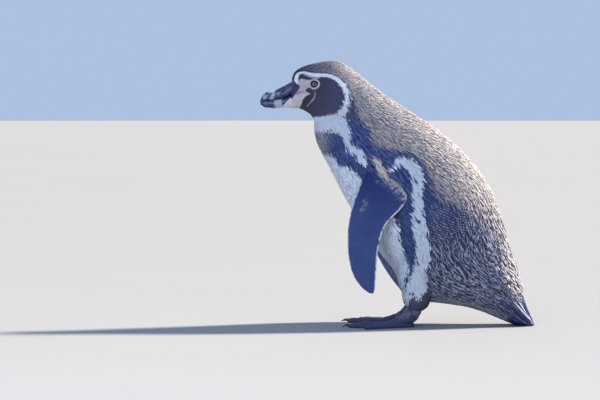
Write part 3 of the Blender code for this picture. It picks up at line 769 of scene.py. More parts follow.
def vane_faces(rows):
    """One feather's faces: three strips of quads, a triangle at the root and three round the tip."""
    strips = []
    for row in range(rows - 1):
        near, ahead = 3 * row, 3 * row + 3
        strips += [(near + i, ahead + i, ahead + (i + 1) % 3, near + (i + 1) % 3) for i in range(3)]
    last, tip = 3 * rows - 3, 3 * rows
    ends = [(0, 1, 2)] + [(last + i, tip, last + (i + 1) % 3) for i in range(3)]
    return np.array(strips), np.array(ends)


def add_feathers(name, points, along, root_u, root_v, colours, tint, finish, slot):
    """A piece of joined feathers. Each feather's patch of the unwrap lies at its root's place.

    Their attribute "vane" holds the shares along and across a feather and its tint. "lie" runs on from
    feather to feather: the distances along the body and round it, from the root's place on a body of
    typical length and girth, plus those along and across the feather.
    """
    count, corners = points.shape[:2]
    rows = len(along)
    strips, ends = vane_faces(rows)
    pattern = np.concatenate((strips.ravel(), ends.ravel()))
    sizes = np.concatenate((np.full(len(strips), 4), np.full(len(ends), 3)))
    loops = (np.arange(count)[:, None] * corners + pattern).ravel()
    share = np.append(np.repeat(along, 3), 1.0)
    across = np.append(np.tile((0.0, 0.5, 1.0), rows), 0.5)
    vane = vectors(share[None], across[None], tint[:, None])
    margin, patch = 0.004, 0.003
    root = np.stack([(at - at.min()) / max(np.ptp(at), 1e-6) for at in (root_v, root_u)], -1)
    root = margin + (1 - 2 * margin - patch) * root
    unwrap = root[:, None] + patch * np.stack((across, share), -1)[None]
    unwrap = unwrap.reshape(-1, 2)[loops]
    colour = np.repeat(colours[:, None], corners, axis=1)
    forward, side = points[:, -1] - points[:, 1], points[:, 0] - points[:, 2]
    off = points - points[:, 1:2]
    lie = [(off * axis[:, None]).sum(-1) / np.linalg.norm(axis, axis=-1)[:, None] for axis in (forward, side)]
    run, round_body = lie[0] + STATION_LENGTH * root_u[:, None], lie[1] + GIRTH * root_v[:, None]
    lie = np.stack((run, round_body, 0 * run), -1)
    values = {"marking": colour.reshape(-1, 3), "vane": vane.reshape(-1, 3), "lie": lie.reshape(-1, 3)}
    return add_piece(name, points.reshape(-1, 3), loops, np.tile(sizes, count), unwrap, values, None,
                     [finish], slot, sharp=65)


# ---------------------------------------------------------------- finishes


class Value:
    """An output of a finish's nodes. Operators on it add Math nodes."""

    def __init__(self, finish, socket):
        self.finish = finish
        self.socket = socket

    def __add__(self, other):
        return self.finish.maths("ADD", self, other)

    def __mul__(self, other):
        return self.finish.maths("MULTIPLY", self, other)

    def __sub__(self, other):
        return self.finish.maths("SUBTRACT", self, other)

    def __rsub__(self, other):
        return self.finish.maths("SUBTRACT", other, self)

    def __truediv__(self, other):
        return self.finish.maths("DIVIDE", self, other)

    def __rtruediv__(self, other):
        return self.finish.maths("DIVIDE", other, self)

    def __pow__(self, other):
        return self.finish.maths("POWER", self, other)

    def __rpow__(self, other):
        return self.finish.maths("POWER", other, self)

    __radd__ = __add__
    __rmul__ = __mul__


class Finish:
    """A material with one Principled shader, and the nodes that feed it."""

    def __init__(self, name, **constants):
        self.material = bpy.data.materials.new(name)
        self.material.use_nodes = True
        self.tree = self.material.node_tree
        self.shader = self.tree.nodes["Principled BSDF"]
        for word, value in constants.items():
            self.shader.inputs[word.replace("_", " ").title().replace("Ior", "IOR")].default_value = value

    def node(self, kind, inputs, **settings):
        """Adds a node: its settings first, then the values or links of its sockets."""
        made = self.tree.nodes.new("ShaderNode" + kind)
        for word, value in settings.items():
            setattr(made, word, value)
        for word, value in inputs.items():
            self.feed(made.inputs[word], value)
        return made

    def feed(self, socket, value):
        """Gives a socket a link, a number or a colour."""
        if isinstance(value, Value):
            self.tree.links.new(value.socket, socket)
        elif isinstance(value, tuple) and len(value) == 3 and socket.type == "RGBA":
            socket.default_value = (*value, 1)
        else:
            socket.default_value = value

    def maths(self, operation, a, b=0.0):
        """One operation on two numbers, or on the first alone."""
        return Value(self, self.node("Math", {0: a, 1: b}, operation=operation).outputs[0])

    def between(self, low, high, value):
        """0 up to `low`, 1 from `high`, and a soft S between."""
        inputs = {"Value": value, "From Min": low, "From Max": high}
        made = self.node("MapRange", inputs, interpolation_type="SMOOTHSTEP")
        return Value(self, made.outputs[0])

    def mix(self, a, b, factor):
        """A colour from a to b by the factor."""
        made = self.node("Mix", {0: factor, 6: a, 7: b}, data_type="RGBA")
        return Value(self, made.outputs[2])

    def place(self):
        """Object coordinates."""
        return Value(self, self.node("TexCoord", {}).outputs["Object"])

    def parts(self, vector):
        """The three numbers of a vector."""
        made = self.node("SeparateXYZ", {"Vector": vector})
        return [Value(self, out) for out in made.outputs]

    def attribute(self, name):
        """The three numbers of a mesh attribute."""
        return self.parts(Value(self, self.node("Attribute", {}, attribute_name=name).outputs["Vector"]))

    def vector(self, x, y, z):
        """Three numbers as a vector."""
        return Value(self, self.node("CombineXYZ", {"X": x, "Y": y, "Z": z}).outputs[0])

    def stretched(self, vector, scale):
        """A vector scaled along each axis."""
        made = self.node("Mapping", {"Vector": vector, "Scale": scale})
        return Value(self, made.outputs[0])

    def noise(self, vector, scale, detail=2.0, roughness=0.5):
        """Soft uneven blotches around 0.5."""
        inputs = {"Vector": vector, "Scale": scale, "Detail": detail, "Roughness": roughness}
        return Value(self, self.node("TexNoise", inputs).outputs["Fac"])

    def cells(self, vector, scale):
        """The distance to the nearest edge between cells round scattered points."""
        made = self.node("TexVoronoi", {"Vector": vector, "Scale": scale}, feature="DISTANCE_TO_EDGE")
        return Value(self, made.outputs["Distance"])

    def surface(self, colour, roughness, height=None, distance=0.2 * MM, coat=None):
        """Feeds the shader: colour, roughness, and a height in units of `distance` for its bumps."""
        self.feed(self.shader.inputs["Base Color"], colour)
        self.feed(self.shader.inputs["Roughness"], roughness)
        if coat is not None:
            self.feed(self.shader.inputs["Coat Weight"], coat)
        if height is not None:
            bump = self.node("Bump", {"Height": height, "Distance": distance, "Strength": 1.0})
            self.tree.links.new(bump.outputs[0], self.shader.inputs["Normal"])
        return self.material


WHITE_FEATHER = (0.58, 0.64, 0.74)
# Painted shade on white feathers, towards their roots and between strands
WHITE_SHADE = (0.38, 0.42, 0.50)
# Whites brightened with painted light: low on the front of the belly, and on the head
BELLY_WHITE_PAINTED_LIGHT = (0.76, 0.81, 0.91)
HEAD_WHITE_PAINTED_LIGHT = (0.80, 0.82, 0.88)
BROWN_FEATHER = (0.036, 0.034, 0.050)
SLATE_FEATHER = (0.016, 0.030, 0.108)
SLATE_TIP = (0.092, 0.146, 0.385)
MASK_FEATHER = (0.050, 0.055, 0.125)
CHIN_FEATHER = (0.090, 0.066, 0.105)
GAPE_FEATHER = (0.018, 0.018, 0.038)
TAUPE_TIP = (0.47, 0.415, 0.385)
GREY_TIP = (0.22, 0.24, 0.34)
RUMP_TIP = (0.33, 0.36, 0.50)
# Pale tip of bleached worn feathers, and the painted sunlight along the ridge of the back
BLEACHED_AND_SUNLIT_TIP = (0.66, 0.615, 0.585)
FLIPPER_FEATHER = (0.007, 0.022, 0.125)
FLIPPER_TIP = (0.070, 0.104, 0.268)
FLIPPER_GREY = (0.27, 0.29, 0.40)
QUILL_DARK = (0.008, 0.013, 0.065)
QUILL_BLUE = (0.028, 0.044, 0.175)
# Painted highlight along one edge of each tail feather
QUILL_EDGE_HIGHLIGHT = (0.52, 0.58, 0.79)
PINK_SKIN = (0.43, 0.36, 0.42)
# Dark pink: painted shade in the face's creases, and darker mottling of the skin
PINK_SHADE = (0.24, 0.16, 0.20)
PALE_SKIN = (0.60, 0.565, 0.575)
# Painted shade in the mouth's groove
MOUTH_PAINTED_SHADE = (0.07, 0.062, 0.066)
FOOT_BLACK = (0.020, 0.032, 0.095)
FOOT_BLUE = (0.085, 0.115, 0.260)
FOOT_PINK = (0.30, 0.23, 0.25)
FOOT_GREY = (0.20, 0.18, 0.22)
FOOT_SEAM = (0.018, 0.016, 0.02)
HORN = (0.006, 0.012, 0.080)
HORN_BROWN = (0.028, 0.034, 0.095)
HORN_BLACK = (0.004, 0.006, 0.022)
# Painted highlight on the horn
HORN_PAINTED_HIGHLIGHT = (0.12, 0.145, 0.35)
HORN_PALE = (0.36, 0.40, 0.48)
HORN_STAIN = (0.20, 0.22, 0.28)
CLAW_BLACK = (0.018, 0.016, 0.018)
CLAW_BROWN = (0.09, 0.07, 0.06)
PUPIL = (0.003, 0.003, 0.004)
IRIS_DARK = (0.11, 0.080, 0.090)
IRIS_LIGHT = (0.26, 0.20, 0.225)
EYE_RIM = (0.006, 0.004, 0.007)
FLOOR_DARK = (0.26, 0.265, 0.275)
FLOOR_LIGHT = (0.28, 0.28, 0.29)
SKY = (0.56, 0.72, 1.0)
SUNLIGHT = (1.0, 0.90, 0.77)
SKYLIGHT = (0.66, 0.80, 1.0)


def plumage_colour(finish, white, slate, frost, along, strand, tint, place):
    """The coat's colour: brown or slate at a feather's root, a pale tip by its frosting, or white.

    Pale tips are broken into strands, more so low on the flank and the rump, where they are greyer. The
    most frosted tips, on the worn rump and the patch over the arm, are bleached, and along the ridge of the
    back the frosted tips are paler with painted sunlight. On the head slate gives way to the mask's
    blue-black, browner at the chin and black round the corner of the gape.
    """
    x, y, z = finish.parts(place)
    patchy = finish.noise(place, 60.0, 3.0)
    mask = finish.mix(CHIN_FEATHER, MASK_FEATHER, finish.between(0.345, 0.372, z + patchy * 0.012))
    gape_y, gape_z = y - GAPE_CORNER[0], z - GAPE_CORNER[1]
    from_gape = (gape_y * gape_y + gape_z * gape_z * 0.45) ** 0.5
    mask = finish.mix(GAPE_FEATHER, mask, finish.between(0.002, 0.0125, from_gape))
    high = 1 + 0.5 * finish.between(0.24, 0.27, z)
    slates = finish.mix(SLATE_FEATHER, SLATE_TIP, strand * (0.1 + 0.7 * patchy) * high)
    behind_face = finish.between(0.338, 0.346, z) * finish.between(-0.062, -0.072, y)
    slates = finish.mix(slates, mask, behind_face)
    dark = finish.mix(BROWN_FEATHER, slates, slate)
    streaky = finish.between(0.02, 0.07, y) * finish.between(0.235, 0.150, z)
    strand = strand ** (1 + 2.3 * streaky) * (1 + 0.85 * streaky)
    pale = (0.1 + 0.34 * frost) * (1 - 0.85 * streaky) + (0.95 - 0.25 * frost) * strand
    pale = finish.between(0.1, 0.6, along) * frost * pale * (0.8 + 0.4 * tint)
    grey = finish.mix(GREY_TIP, RUMP_TIP, streaky)
    browned = finish.between(0.35, 0.9, frost) * (1.2 - patchy) * (1 - 0.35 * streaky)
    tips = finish.mix(grey, TAUPE_TIP, browned)
    # Painted sunlight: frosted tips along the ridge of the back are paler, as where the sun catches its edge.
    ridge = finish.between(0.060, 0.015, finish.maths("ABSOLUTE", x))
    ridge = ridge * finish.between(0.08, 0.14, z) * finish.between(0.36, 0.30, z)
    bleached_and_sunlit = finish.between(0.95, 2.0, frost) * 0.85 + ridge * finish.between(0.4, 0.8, frost) * 0.32
    tips = finish.mix(tips, BLEACHED_AND_SUNLIT_TIP, bleached_and_sunlit)
    dark = finish.mix(dark, tips, finish.between(0.0, 1.0, pale))
    on_head = finish.between(0.350, 0.375, z)
    # Painted shade: white darkens towards each feather's root and between strands, less so on the head.
    shade = ((1 - finish.between(0.1, 0.75, along)) * 0.4 + (1 - strand) * 0.28) * (1 - 0.8 * on_head)
    # Painted light: white is brighter low on the front of the belly and on the head, lifting their shade.
    belly = finish.between(0.08, 0.13, z) * finish.between(0.30, 0.25, z) * finish.between(0.02, -0.005, y)
    light = finish.mix(WHITE_FEATHER, BELLY_WHITE_PAINTED_LIGHT, belly)
    light = finish.mix(finish.mix(light, HEAD_WHITE_PAINTED_LIGHT, on_head), WHITE_SHADE, shade)
    return finish.mix(dark, light, white)


def plumage_finish():
    """Feathers: markings from their attributes, in strands that run on with the lie of the coat.

    Strands are a sine of the distance round the body, bent and broken up by noise. On the flank behind
    the stripe, ripples partly take over from them: a sine of the height, which climbs forwards and
    wanders with a noise.
    """
    finish = Finish("plumage", specular_ior_level=0.3)
    white, slate, frost = finish.attribute("marking")
    along, across, tint = finish.attribute("vane")
    run, round_body, _ = finish.attribute("lie")
    place = finish.place()
    _, y, z = finish.parts(place)
    bend = finish.noise(finish.vector(run * 40, round_body * 90, 0.0), 1.0, 2.0)
    lines = finish.maths("SINE", round_body * 1560 + bend * 15)
    breaks = finish.noise(finish.vector(run * 95, round_body * 420, 4.0), 1.0, 2.0, 0.6)
    strand = finish.between(0.28, 0.72, 0.5 + lines * 0.34 + (breaks - 0.5) * 1.3)
    flank = finish.between(0.034, 0.060, y) * finish.between(0.140, 0.075, y)
    flank = flank * finish.between(0.208, 0.190, z) * finish.between(0.125, 0.165, z)
    rough_coat = 1 + finish.between(0.02, 0.06, y) * finish.between(0.24, 0.17, z)
    wander = finish.noise(place, 26.0, 3.0) * 22 + breaks * 4
    ripple = finish.between(-0.9, 0.9, finish.maths("SINE", (z + y * 0.30) * 1460 + wander))
    strand = strand + (ripple - strand) * flank * 0.55
    colour = plumage_colour(finish, white, slate, frost, along, strand, tint, place)
    beside = finish.maths("ABSOLUTE", across - 0.5)
    barb = finish.noise(finish.vector(along * 9 - beside * 9, across * 2, tint * 50), 3.0, 1.0)
    rough = 0.62 + 0.2 * barb - 0.1 * slate
    return finish.surface(colour, rough, barb * 0.3 + strand * rough_coat, 0.45 * MM)


def flipper_finish():
    """A flipper's scale-like feathers: deep blue-grey, mottled over its length, whitish where marked."""
    finish = Finish("flipper plumage", specular_ior_level=0.3)
    white, _, frost = finish.attribute("marking")
    along, _, tint = finish.attribute("vane")
    place = finish.place()
    cloud = finish.noise(place, 28.0, 3.0)
    tip = finish.between(0.3, 1.0, along) * (0.2 + 0.8 * tint)
    outer = 0.08 + 0.92 * finish.between(0.235, 0.16, finish.parts(place)[2]) * (0.75 + 0.5 * cloud)
    colour = finish.mix(FLIPPER_FEATHER, FLIPPER_TIP, (0.3 + 0.7 * tip) * outer * (0.4 + cloud))
    tips = finish.mix(FLIPPER_GREY, TAUPE_TIP, finish.between(0.55, 0.95, frost))
    colour = finish.mix(colour, tips, finish.between(0.05, 1.0, frost * (0.35 + 0.9 * tint)))
    colour = finish.mix(colour, WHITE_FEATHER, white)
    return finish.surface(colour, 0.5 + 0.15 * tint, cloud, 0.1 * MM)


def skin_finish():
    """Skin: the coat's markings where feathers hide it, and on the bare face pink folds, with painted shade
    in their creases, and horn.
    """
    finish = Finish("skin", coat_roughness=0.18)
    white, slate, frost = finish.attribute("marking")
    pink, horn, mouth = finish.attribute("face")
    place = finish.place()
    down = plumage_colour(finish, white, slate, frost * 0.5, 0.6, 0.5, 0.5, place)
    mottle = finish.noise(place, 420.0, 4.0, 0.6)
    fold = finish.cells(finish.stretched(place, (1.0, 0.7, 1.5)), 700.0)
    crease = 1 - finish.between(0.0, 0.16, fold)
    below = finish.between(0.3850, 0.3775, finish.parts(place)[2])
    flesh = finish.mix(PINK_SKIN, PALE_SKIN, finish.between(0.45, 0.7, mottle) + below * 0.6)
    # Painted shade in the creases of the bare face, beside darker mottling of the skin.
    flesh = finish.mix(flesh, PINK_SHADE, crease * 0.45 + finish.between(0.42, 0.2, mottle) * 0.5)
    streak = finish.noise(finish.stretched(place, (1.0, 0.5, 2.5)), 260.0, 3.0)
    plate = finish.mix(HORN, HORN_BROWN, finish.between(0.4, 0.75, streak))
    colour = finish.mix(finish.mix(down, flesh, pink), plate, horn)
    # Painted shade in the mouth's groove, where the bill's halves meet.
    colour = finish.mix(colour, MOUTH_PAINTED_SHADE, mouth * pink * 0.9)
    rough = 0.75 - 0.2 * pink - 0.4 * horn
    height = (mottle * 0.5 - crease * 0.8) * pink + streak * horn * 0.6
    return finish.surface(colour, rough, height, 0.16 * MM, coat=0.2 * horn)


def foot_finish():
    """Scaly blue-black skin of the feet, blotched with pink towards the ankle, dark between its scales."""
    finish = Finish("foot skin")
    place = finish.place()
    blotch = finish.noise(place, 75.0, 4.0, 0.65)
    scale = finish.cells(place, 620.0)
    seam = 1 - finish.between(0.02, 0.2, scale)
    tone = finish.noise(place, 900.0, 2.0)
    dark = finish.mix(FOOT_BLACK, FOOT_BLUE, tone)
    light = finish.mix(FOOT_PINK, FOOT_GREY, tone)
    ankle = finish.between(0.010, 0.024, finish.parts(place)[2])
    colour = finish.mix(dark, light, finish.between(0.55, 0.65, blotch + ankle * 0.16) * 0.8)
    colour = finish.mix(colour, FOOT_SEAM, seam * 0.7)
    return finish.surface(colour, 0.55 + 0.25 * tone, (1 - seam) + tone * 0.3, 0.25 * MM)


def horn_finish(name, band, spots=(), bare_edge=None):
    """Horn of the bill: blue-black with long growth streaks and patches of painted highlight, crossed by a
    worn pale band.

    The band's edges lean back with height over the mouth, or forward where the lean is negative, and
    wander with a noise. Each of the `spots` is pale too, partly with wear and partly as a painted
    highlight. Bare skin covers what lies behind a slanting `bare_edge`.
    """
    finish = Finish(name, coat_roughness=0.12)
    place = finish.place()
    _, y, z = finish.parts(place)
    front, back, lean = band
    streak = finish.noise(finish.stretched(place, (3.0, 0.6, 3.0)), 300.0, 4.0, 0.6)
    horn_mottle = finish.noise(place, 260.0, 4.0, 0.7)
    fine = finish.noise(finish.stretched(place, (5.0, 0.8, 5.0)), 700.0, 2.0)
    colour = finish.mix(HORN, HORN_BROWN, finish.between(0.45, 0.7, streak))
    # Painted highlights: lighter blue patches where the glossy horn would reflect the sky.
    colour = finish.mix(colour, HORN_PAINTED_HIGHLIGHT, finish.between(0.50, 0.66, horn_mottle) * 0.62)
    colour = finish.mix(colour, HORN_BLACK, finish.between(0.46, 0.36, streak) * 0.8)
    edge = y + (horn_mottle - 0.5) * 0.008 + (MOUTH_LEVEL - z) * lean
    pale = finish.between(front - 0.0018, front + 0.0022, edge)
    pale = pale * (1 - finish.between(back - 0.0022, back + 0.0024, edge))
    # The spots are pale partly with wear and partly as painted highlights.
    for spot_y, spot_z, radius in spots:
        off_y, off_z = y - spot_y, z - spot_z
        away = (off_y * off_y + off_z * off_z) ** 0.5 + (horn_mottle - 0.5) * 0.010
        pale = pale + (1 - pale) * finish.between(radius * 1.25, radius * 0.5, away) * 0.75
    # Pale worn horn, also the colour of the painted highlight spots.
    worn = finish.mix(HORN_PALE, HORN_STAIN, finish.between(0.5, 0.75, streak) * 0.7)
    colour = finish.mix(colour, worn, pale * finish.between(0.22, 0.42, horn_mottle))
    rough = 0.28 + 0.2 * streak + 0.15 * pale
    height = streak * 0.6 + horn_mottle * 0.5 + fine * 0.25
    coat = 0.22 - 0.15 * pale
    if bare_edge:
        at_y, at_z, slope = bare_edge
        behind = finish.between(-0.0006, 0.0006, y - at_y + (at_z - z) * slope + (horn_mottle - 0.5) * 0.002)
        mottle = finish.noise(place, 500.0, 4.0)
        skin = finish.mix(PALE_SKIN, PINK_SHADE, finish.between(0.45, 0.75, mottle) * 0.6)
        colour = finish.mix(colour, skin, behind)
        rough = rough + 0.25 * behind
        coat = coat - 0.15 * behind
    return finish.surface(colour, rough, height, 0.20 * MM, coat=coat)


def claw_finish():
    """Claws: black horn, streaked brown along."""
    finish = Finish("claw", coat_weight=0.2)
    place = finish.place()
    streak = finish.noise(finish.stretched(place, (6.0, 1.0, 6.0)), 500.0, 3.0)
    colour = finish.mix(CLAW_BLACK, CLAW_BROWN, finish.between(0.45, 0.8, streak))
    return finish.surface(colour, 0.35 + 0.2 * streak, streak, 0.1 * MM)


def eye_finish():
    """The eye by the distance from its axis: black pupil, a ring of grey-brown iris with rays, a dark rim."""
    finish = Finish("eye", coat_weight=0.45, coat_roughness=0.03, specular_ior_level=0.25)
    _, y, z = finish.parts(finish.place())
    off_y, off_z = y - float(EYE_CENTRE[1]), z - float(EYE_CENTRE[2])
    radius = finish.maths("SQRT", off_y * off_y + off_z * off_z) * 1000
    turn = finish.maths("ARCTAN2", off_z, off_y)
    ray = finish.noise(finish.vector(turn * 9, radius * 0.35, 0.0), 1.6, 3.0)
    iris = finish.mix(IRIS_DARK, IRIS_LIGHT, finish.between(0.3, 0.7, ray))
    colour = finish.mix(PUPIL, iris, finish.between(*PUPIL_EDGE, radius))
    colour = finish.mix(colour, EYE_RIM, finish.between(*RIM_EDGE, radius))
    return finish.surface(colour, 0.25 + 0.1 * ray)


def tail_finish():
    """Tail feathers: blue-black with a painted highlight along one edge, and barbs that lean out from the
    shaft.
    """
    finish = Finish("tail feather")
    along, across, tint = finish.attribute("vane")
    beside = finish.maths("ABSOLUTE", across - 0.5) * 2
    barb = finish.noise(finish.vector(along * 60 - beside * 8, across * 3, tint * 40), 2.0, 2.0)
    colour = finish.mix(QUILL_DARK, QUILL_BLUE, finish.between(0.4, 0.7, barb))
    # Painted highlight along one edge of each feather.
    edge = finish.between(0.62, 0.9, across) * finish.between(0.2, 0.6, along)
    colour = finish.mix(colour, QUILL_EDGE_HIGHLIGHT, edge * finish.between(0.2, 1.3, tint))
    return finish.surface(colour, 0.45 + 0.2 * barb, barb, 0.15 * MM)


# ---------------------------------------------------------------- the skin


def body_skin():
    """The skin of head, neck, trunk and tail: the body's surface drawn in by the coat's depth.

    Where the face is bare it comes up nearly to the outer surface. There it is unevenly swollen, with
    creases where uneven waves cross zero, a groove along the mouth and raised horn. It dips under the
    eyelids.
    """
    head = np.linspace(-0.6, STATION["throat"], 156)  # starts inside the bill
    rest = np.linspace(STATION["throat"], STATION["tail tip"], 96)[1:]
    u, v = np.append(head, rest)[:, None], (np.arange(208) / 208)[None]
    outer = body_point(u, v, 0)
    depth = np.broadcast_to(coat_at(u)[0], outer.shape[:2])
    face = bare_face(outer, 1.2 * MM) * (u < STATION["crown"])[..., None]
    pink, horn = face[..., 0], face[..., 1]
    bare = np.maximum(pink, horn)
    crease = bell(waves(outer * (1, 0.8, 1.6), 7 * MM, seed=3), 0.16)
    swell = waves(outer, 9 * MM, seed=4)
    level = -(depth * (1 - bare)) - 0.3 * MM * bare
    level = level + pink * (0.22 * MM * swell - 0.30 * MM * crease) + 0.35 * MM * horn
    to_mouth = -depth_in_stripe(MOUTH_LINE, outer[..., 1], outer[..., 2])
    level = level - bare * (1.0 * MM * bell(to_mouth, 0.9 * MM))
    from_eye = np.hypot(outer[..., 1] - EYE_CENTRE[1], outer[..., 2] - EYE_CENTRE[2])
    under_lid = smooth(LID_RADIUS, LID_RADIUS - 1.5 * MM, from_eye) * (u < STATION["cheek"])
    level = np.where(under_lid > 0, np.minimum(level, -0.3 * MM) - 0.8 * MM * under_lid, level)
    points = body_point(u, v, level - 0.4 * MM * smooth(0, -0.6, u))
    return shell(points, (0, 0.3, 1, 0.7), marking=marks(outer, 0, 3 * MM), face=face)


def face_beside_eye():
    """The left side of the face near the eye as x = a quadratic in y and z, fitted to the body's surface."""
    u, v = np.meshgrid(np.linspace(2.5, 6, 60), np.linspace(0.12, 0.38, 60))
    x, y, z = body_point(u, v, 0).reshape(-1, 3).T
    y, z = y - EYE_CENTRE[1], z - EYE_CENTRE[2]
    near = np.hypot(y, z) < LID_RADIUS + 1 * MM
    terms = np.stack((np.ones_like(y), y, z, y * y, y * z, z * z), -1)
    fit = np.linalg.lstsq(terms[near], x[near], rcond=None)[0]
    return lambda y, z: sum(part * term for part, term in zip(fit, (1, y, z, y * y, y * z, z * z)))


def eyelid_skin(side, patch):
    """The bare ring round an eye: a padded rim whose profile is carried round the eye's axis.

    Small folds run across it and a shallow groove runs round it.
    """
    face = face_beside_eye()
    turn = ring(120)
    radius, height = np.array(LID_PROFILE).T[:, None] * MM
    egg = 1 + 0.03 * np.cos(2 * turn)[:, None] + 0.02 * np.sin(3 * turn + 1)[:, None]
    y = radius * egg * np.cos(turn)[:, None]
    z = radius * egg * np.sin(turn)[:, None]
    places = vectors(0, y, z)
    front = smooth(-0.6 * MM, 0.1 * MM, height)
    ticks = 0.10 * MM * np.sin(34 * turn + 1.5 * np.sin(5 * turn))[:, None]
    x = face(y, z) + height + front * (ticks + 0.12 * MM * waves(places, 2.6 * MM, seed=8))
    points = np.stack((side * x, y + EYE_CENTRE[1], z + EYE_CENTRE[2]), -1)
    pink = np.zeros_like(points)
    pink[..., 0] = 1
    return shell(points, patch, looped=True, face=pink)


def limb_skin(surface, last, depth, rows, columns):
    """A limb's skin, its surface drawn in by the depth of its coat: its points, and their places u and v."""
    u, v = np.linspace(0, last, rows)[:, None], (np.arange(columns) / columns)[None]
    return surface(u, v, -depth), u, v


def flipper_marks(u, v):
    """A flipper's markings: pale lines along both edges, a slightly paler inner side, and frosting.

    The frosting covers the rear of the upper arm. Two smudges of it, each fainter, lie on the outer side:
    at the elbow and over the arm.
    """
    from_lead = np.minimum(v, 1 - v)
    from_trail = np.abs(v - 0.5)
    white = 0.75 * smooth(0.060, 0.024, from_lead) * smooth(1, 4, u)
    white = np.maximum(white, 0.95 * smooth(0.070, 0.034, from_trail) * smooth(4.0, 5.0, u))
    inner = smooth(0.54, 0.62, v) * smooth(0.97, 0.9, v)
    white = np.maximum(white, inner * 0.1)
    patch = 1.05 * smooth(0.24, 0.06, from_trail + 0.050 * (u - 2.9)) * smooth(4.9, 4.3, u)
    smudge = 0.62 * bell(u - 4.8, 0.85) * bell(v - 0.195, 0.034)
    smudge = smudge + 0.34 * bell(u - 2.1, 0.8) * bell(v - 0.29, 0.05)
    return vectors(white, 1.0, np.maximum(patch, smudge))


def toe_skin(name, side, patch):
    """One toe: a flat-soled tube from the ankle to its claw, swollen at the joints, with scutes on top.

    Scutes are the rounded steps of a rising saw along the toe, faded out towards the sole.
    """
    direction, reach = TOES[name]
    share = np.linspace(0, 1, 96)[:, None]
    turn = ring(20)[None]
    joints = 0 * share
    for joint in TOE_JOINTS:
        joints = joints + 0.10 * bell(share - joint, 0.06)
    end = np.sqrt(np.clip(1 - smooth(0.93, 1.0, share) ** 2 * 0.93, 0, 1))
    radius = TOE_WIDTH * (1.02 - 0.22 * share + joints) * end
    top = np.clip(np.sin(turn), 0, 1)
    scute = (share * reach / SCUTE_LENGTH) % 1
    step = 0.42 * MM * (scute**0.6 - 0.5) * top**0.5 * (share > 0.12)
    forwards = reach * share + TOE_WIDTH * smooth(0.9, 1.0, share)
    wide = radius * np.cos(turn)
    high = TOE_HEIGHT + (radius * 0.92 + step) * np.sin(turn)
    x = math.sin(direction) * forwards + math.cos(direction) * wide
    y = -math.cos(direction) * forwards + math.sin(direction) * wide
    points = vectors(x, y, np.maximum(high, FLOOR_GAP))
    return shell(foot_place(points, side), patch, kind=1)


def web_skin(first, second, side, patch):
    """The web between two toes: a thin wrinkled sheet with a hollow front edge, laid on the floor."""
    directions, reaches = np.array([TOES[name] for name in (first, second)]).T
    share = np.linspace(0.1, 1, 26)[:, None]
    crossing = np.linspace(0, 1, 14)
    across = np.concatenate((crossing, crossing[::-1]))[None]
    top = (np.arange(2 * len(crossing)) < len(crossing))[None]
    forwards = share * 0.95 * (1 - 0.2 * np.sin(math.pi * across))
    near, far = (1 - across) * forwards, across * forwards
    ahead = reaches * np.array((np.sin(directions), -np.cos(directions)))
    x, y = (near * edge[0] + far * edge[1] for edge in ahead)
    folds = 0.45 * MM * np.sin(across * 19 + 2.5 * np.sin(4 * share))
    folds = folds + 0.2 * MM * np.sin(share * 60 + 4 * across)
    thick = WEB_THICKNESS - 1.2 * MM * share**4 - 0.6 * MM * np.sin(math.pi * across)
    z = np.where(top, thick + folds, FLOOR_GAP)
    return shell(foot_place(vectors(x, y, z), side), patch, kind=1)


def instep_skin(side, patch):
    """Ankle and instep: a tube whose middle line comes down from the leg and runs out along the foot."""
    at = np.linspace(0, len(INSTEP) - 1, 44)
    y, z, wide, deep = spline(INSTEP, at).T * MM
    middle = vectors(0, y, z)
    sideways = np.array((1.0, 0, 0))
    ahead = np.gradient(middle, axis=0)
    ahead /= np.linalg.norm(ahead, axis=1)[:, None]
    upwards = np.cross(ahead, sideways)
    turn = ring(32)[None]
    grain = 1 + 0.03 * np.sin(at * 9)
    points = middle[:, None] + ((wide * grain)[:, None] * np.cos(turn))[..., None] * sideways
    points = points + ((deep * grain)[:, None] * np.sin(turn))[..., None] * upwards[:, None]
    points[..., 2] = np.maximum(points[..., 2], FLOOR_GAP)
    return shell(foot_place(points, side), patch, kind=1)


def foot_skins(side, left_edge):
    """One foot's skin: ankle, toes and webs, one above the other in a column of the unwrap."""
    names = list(TOES)
    pitch, wide, tall = 0.04, 0.24, 0.035
    skins = [instep_skin(side, (left_edge, 0, wide, tall))]
    for number, name in enumerate(names):
        skins.append(toe_skin(name, side, (left_edge, pitch * (1 + number), wide, tall)))
    for number, (first, second) in enumerate(zip(names[:2], names[1:3])):
        skins.append(web_skin(first, second, side, (left_edge, pitch * (5 + number), wide, tall)))
    return skins


def make_skin():
    """One skin for head, neck, trunk, tail, flippers, legs and feet."""
    shells = [body_skin()]
    for side, column in ((1, 0.0), (-1, 0.5)):
        shells.append(eyelid_skin(side, (column, 0.275, 0.24, 0.02)))
        shells += foot_skins(side, column)
        flipper = left_flipper if side > 0 else right_flipper
        points, u, v = limb_skin(flipper, len(FLIPPER) - 1, FLIPPER_COAT, 70, 40)
        shells.append(shell(points, (column + 0.25, 0, 0.24, 0.18), marking=flipper_marks(u, v)))
        points, _, _ = limb_skin(leg_point(side), len(LEG) - 1, LEG_COAT, 30, 40)
        shells.append(shell(points, (column + 0.25, 0.19, 0.24, 0.08), marking=leg_marks(points)))
    skin = add_shells("skin", shells, [skin_finish(), foot_finish()], "bare_skin")
    limbs = [limb + "_" + word for limb in ("flipper", "leg", "foot") for word, _ in SIDES]
    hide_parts("head", "neck", "trunk", "tail", *limbs)


# ---------------------------------------------------------------- the coat

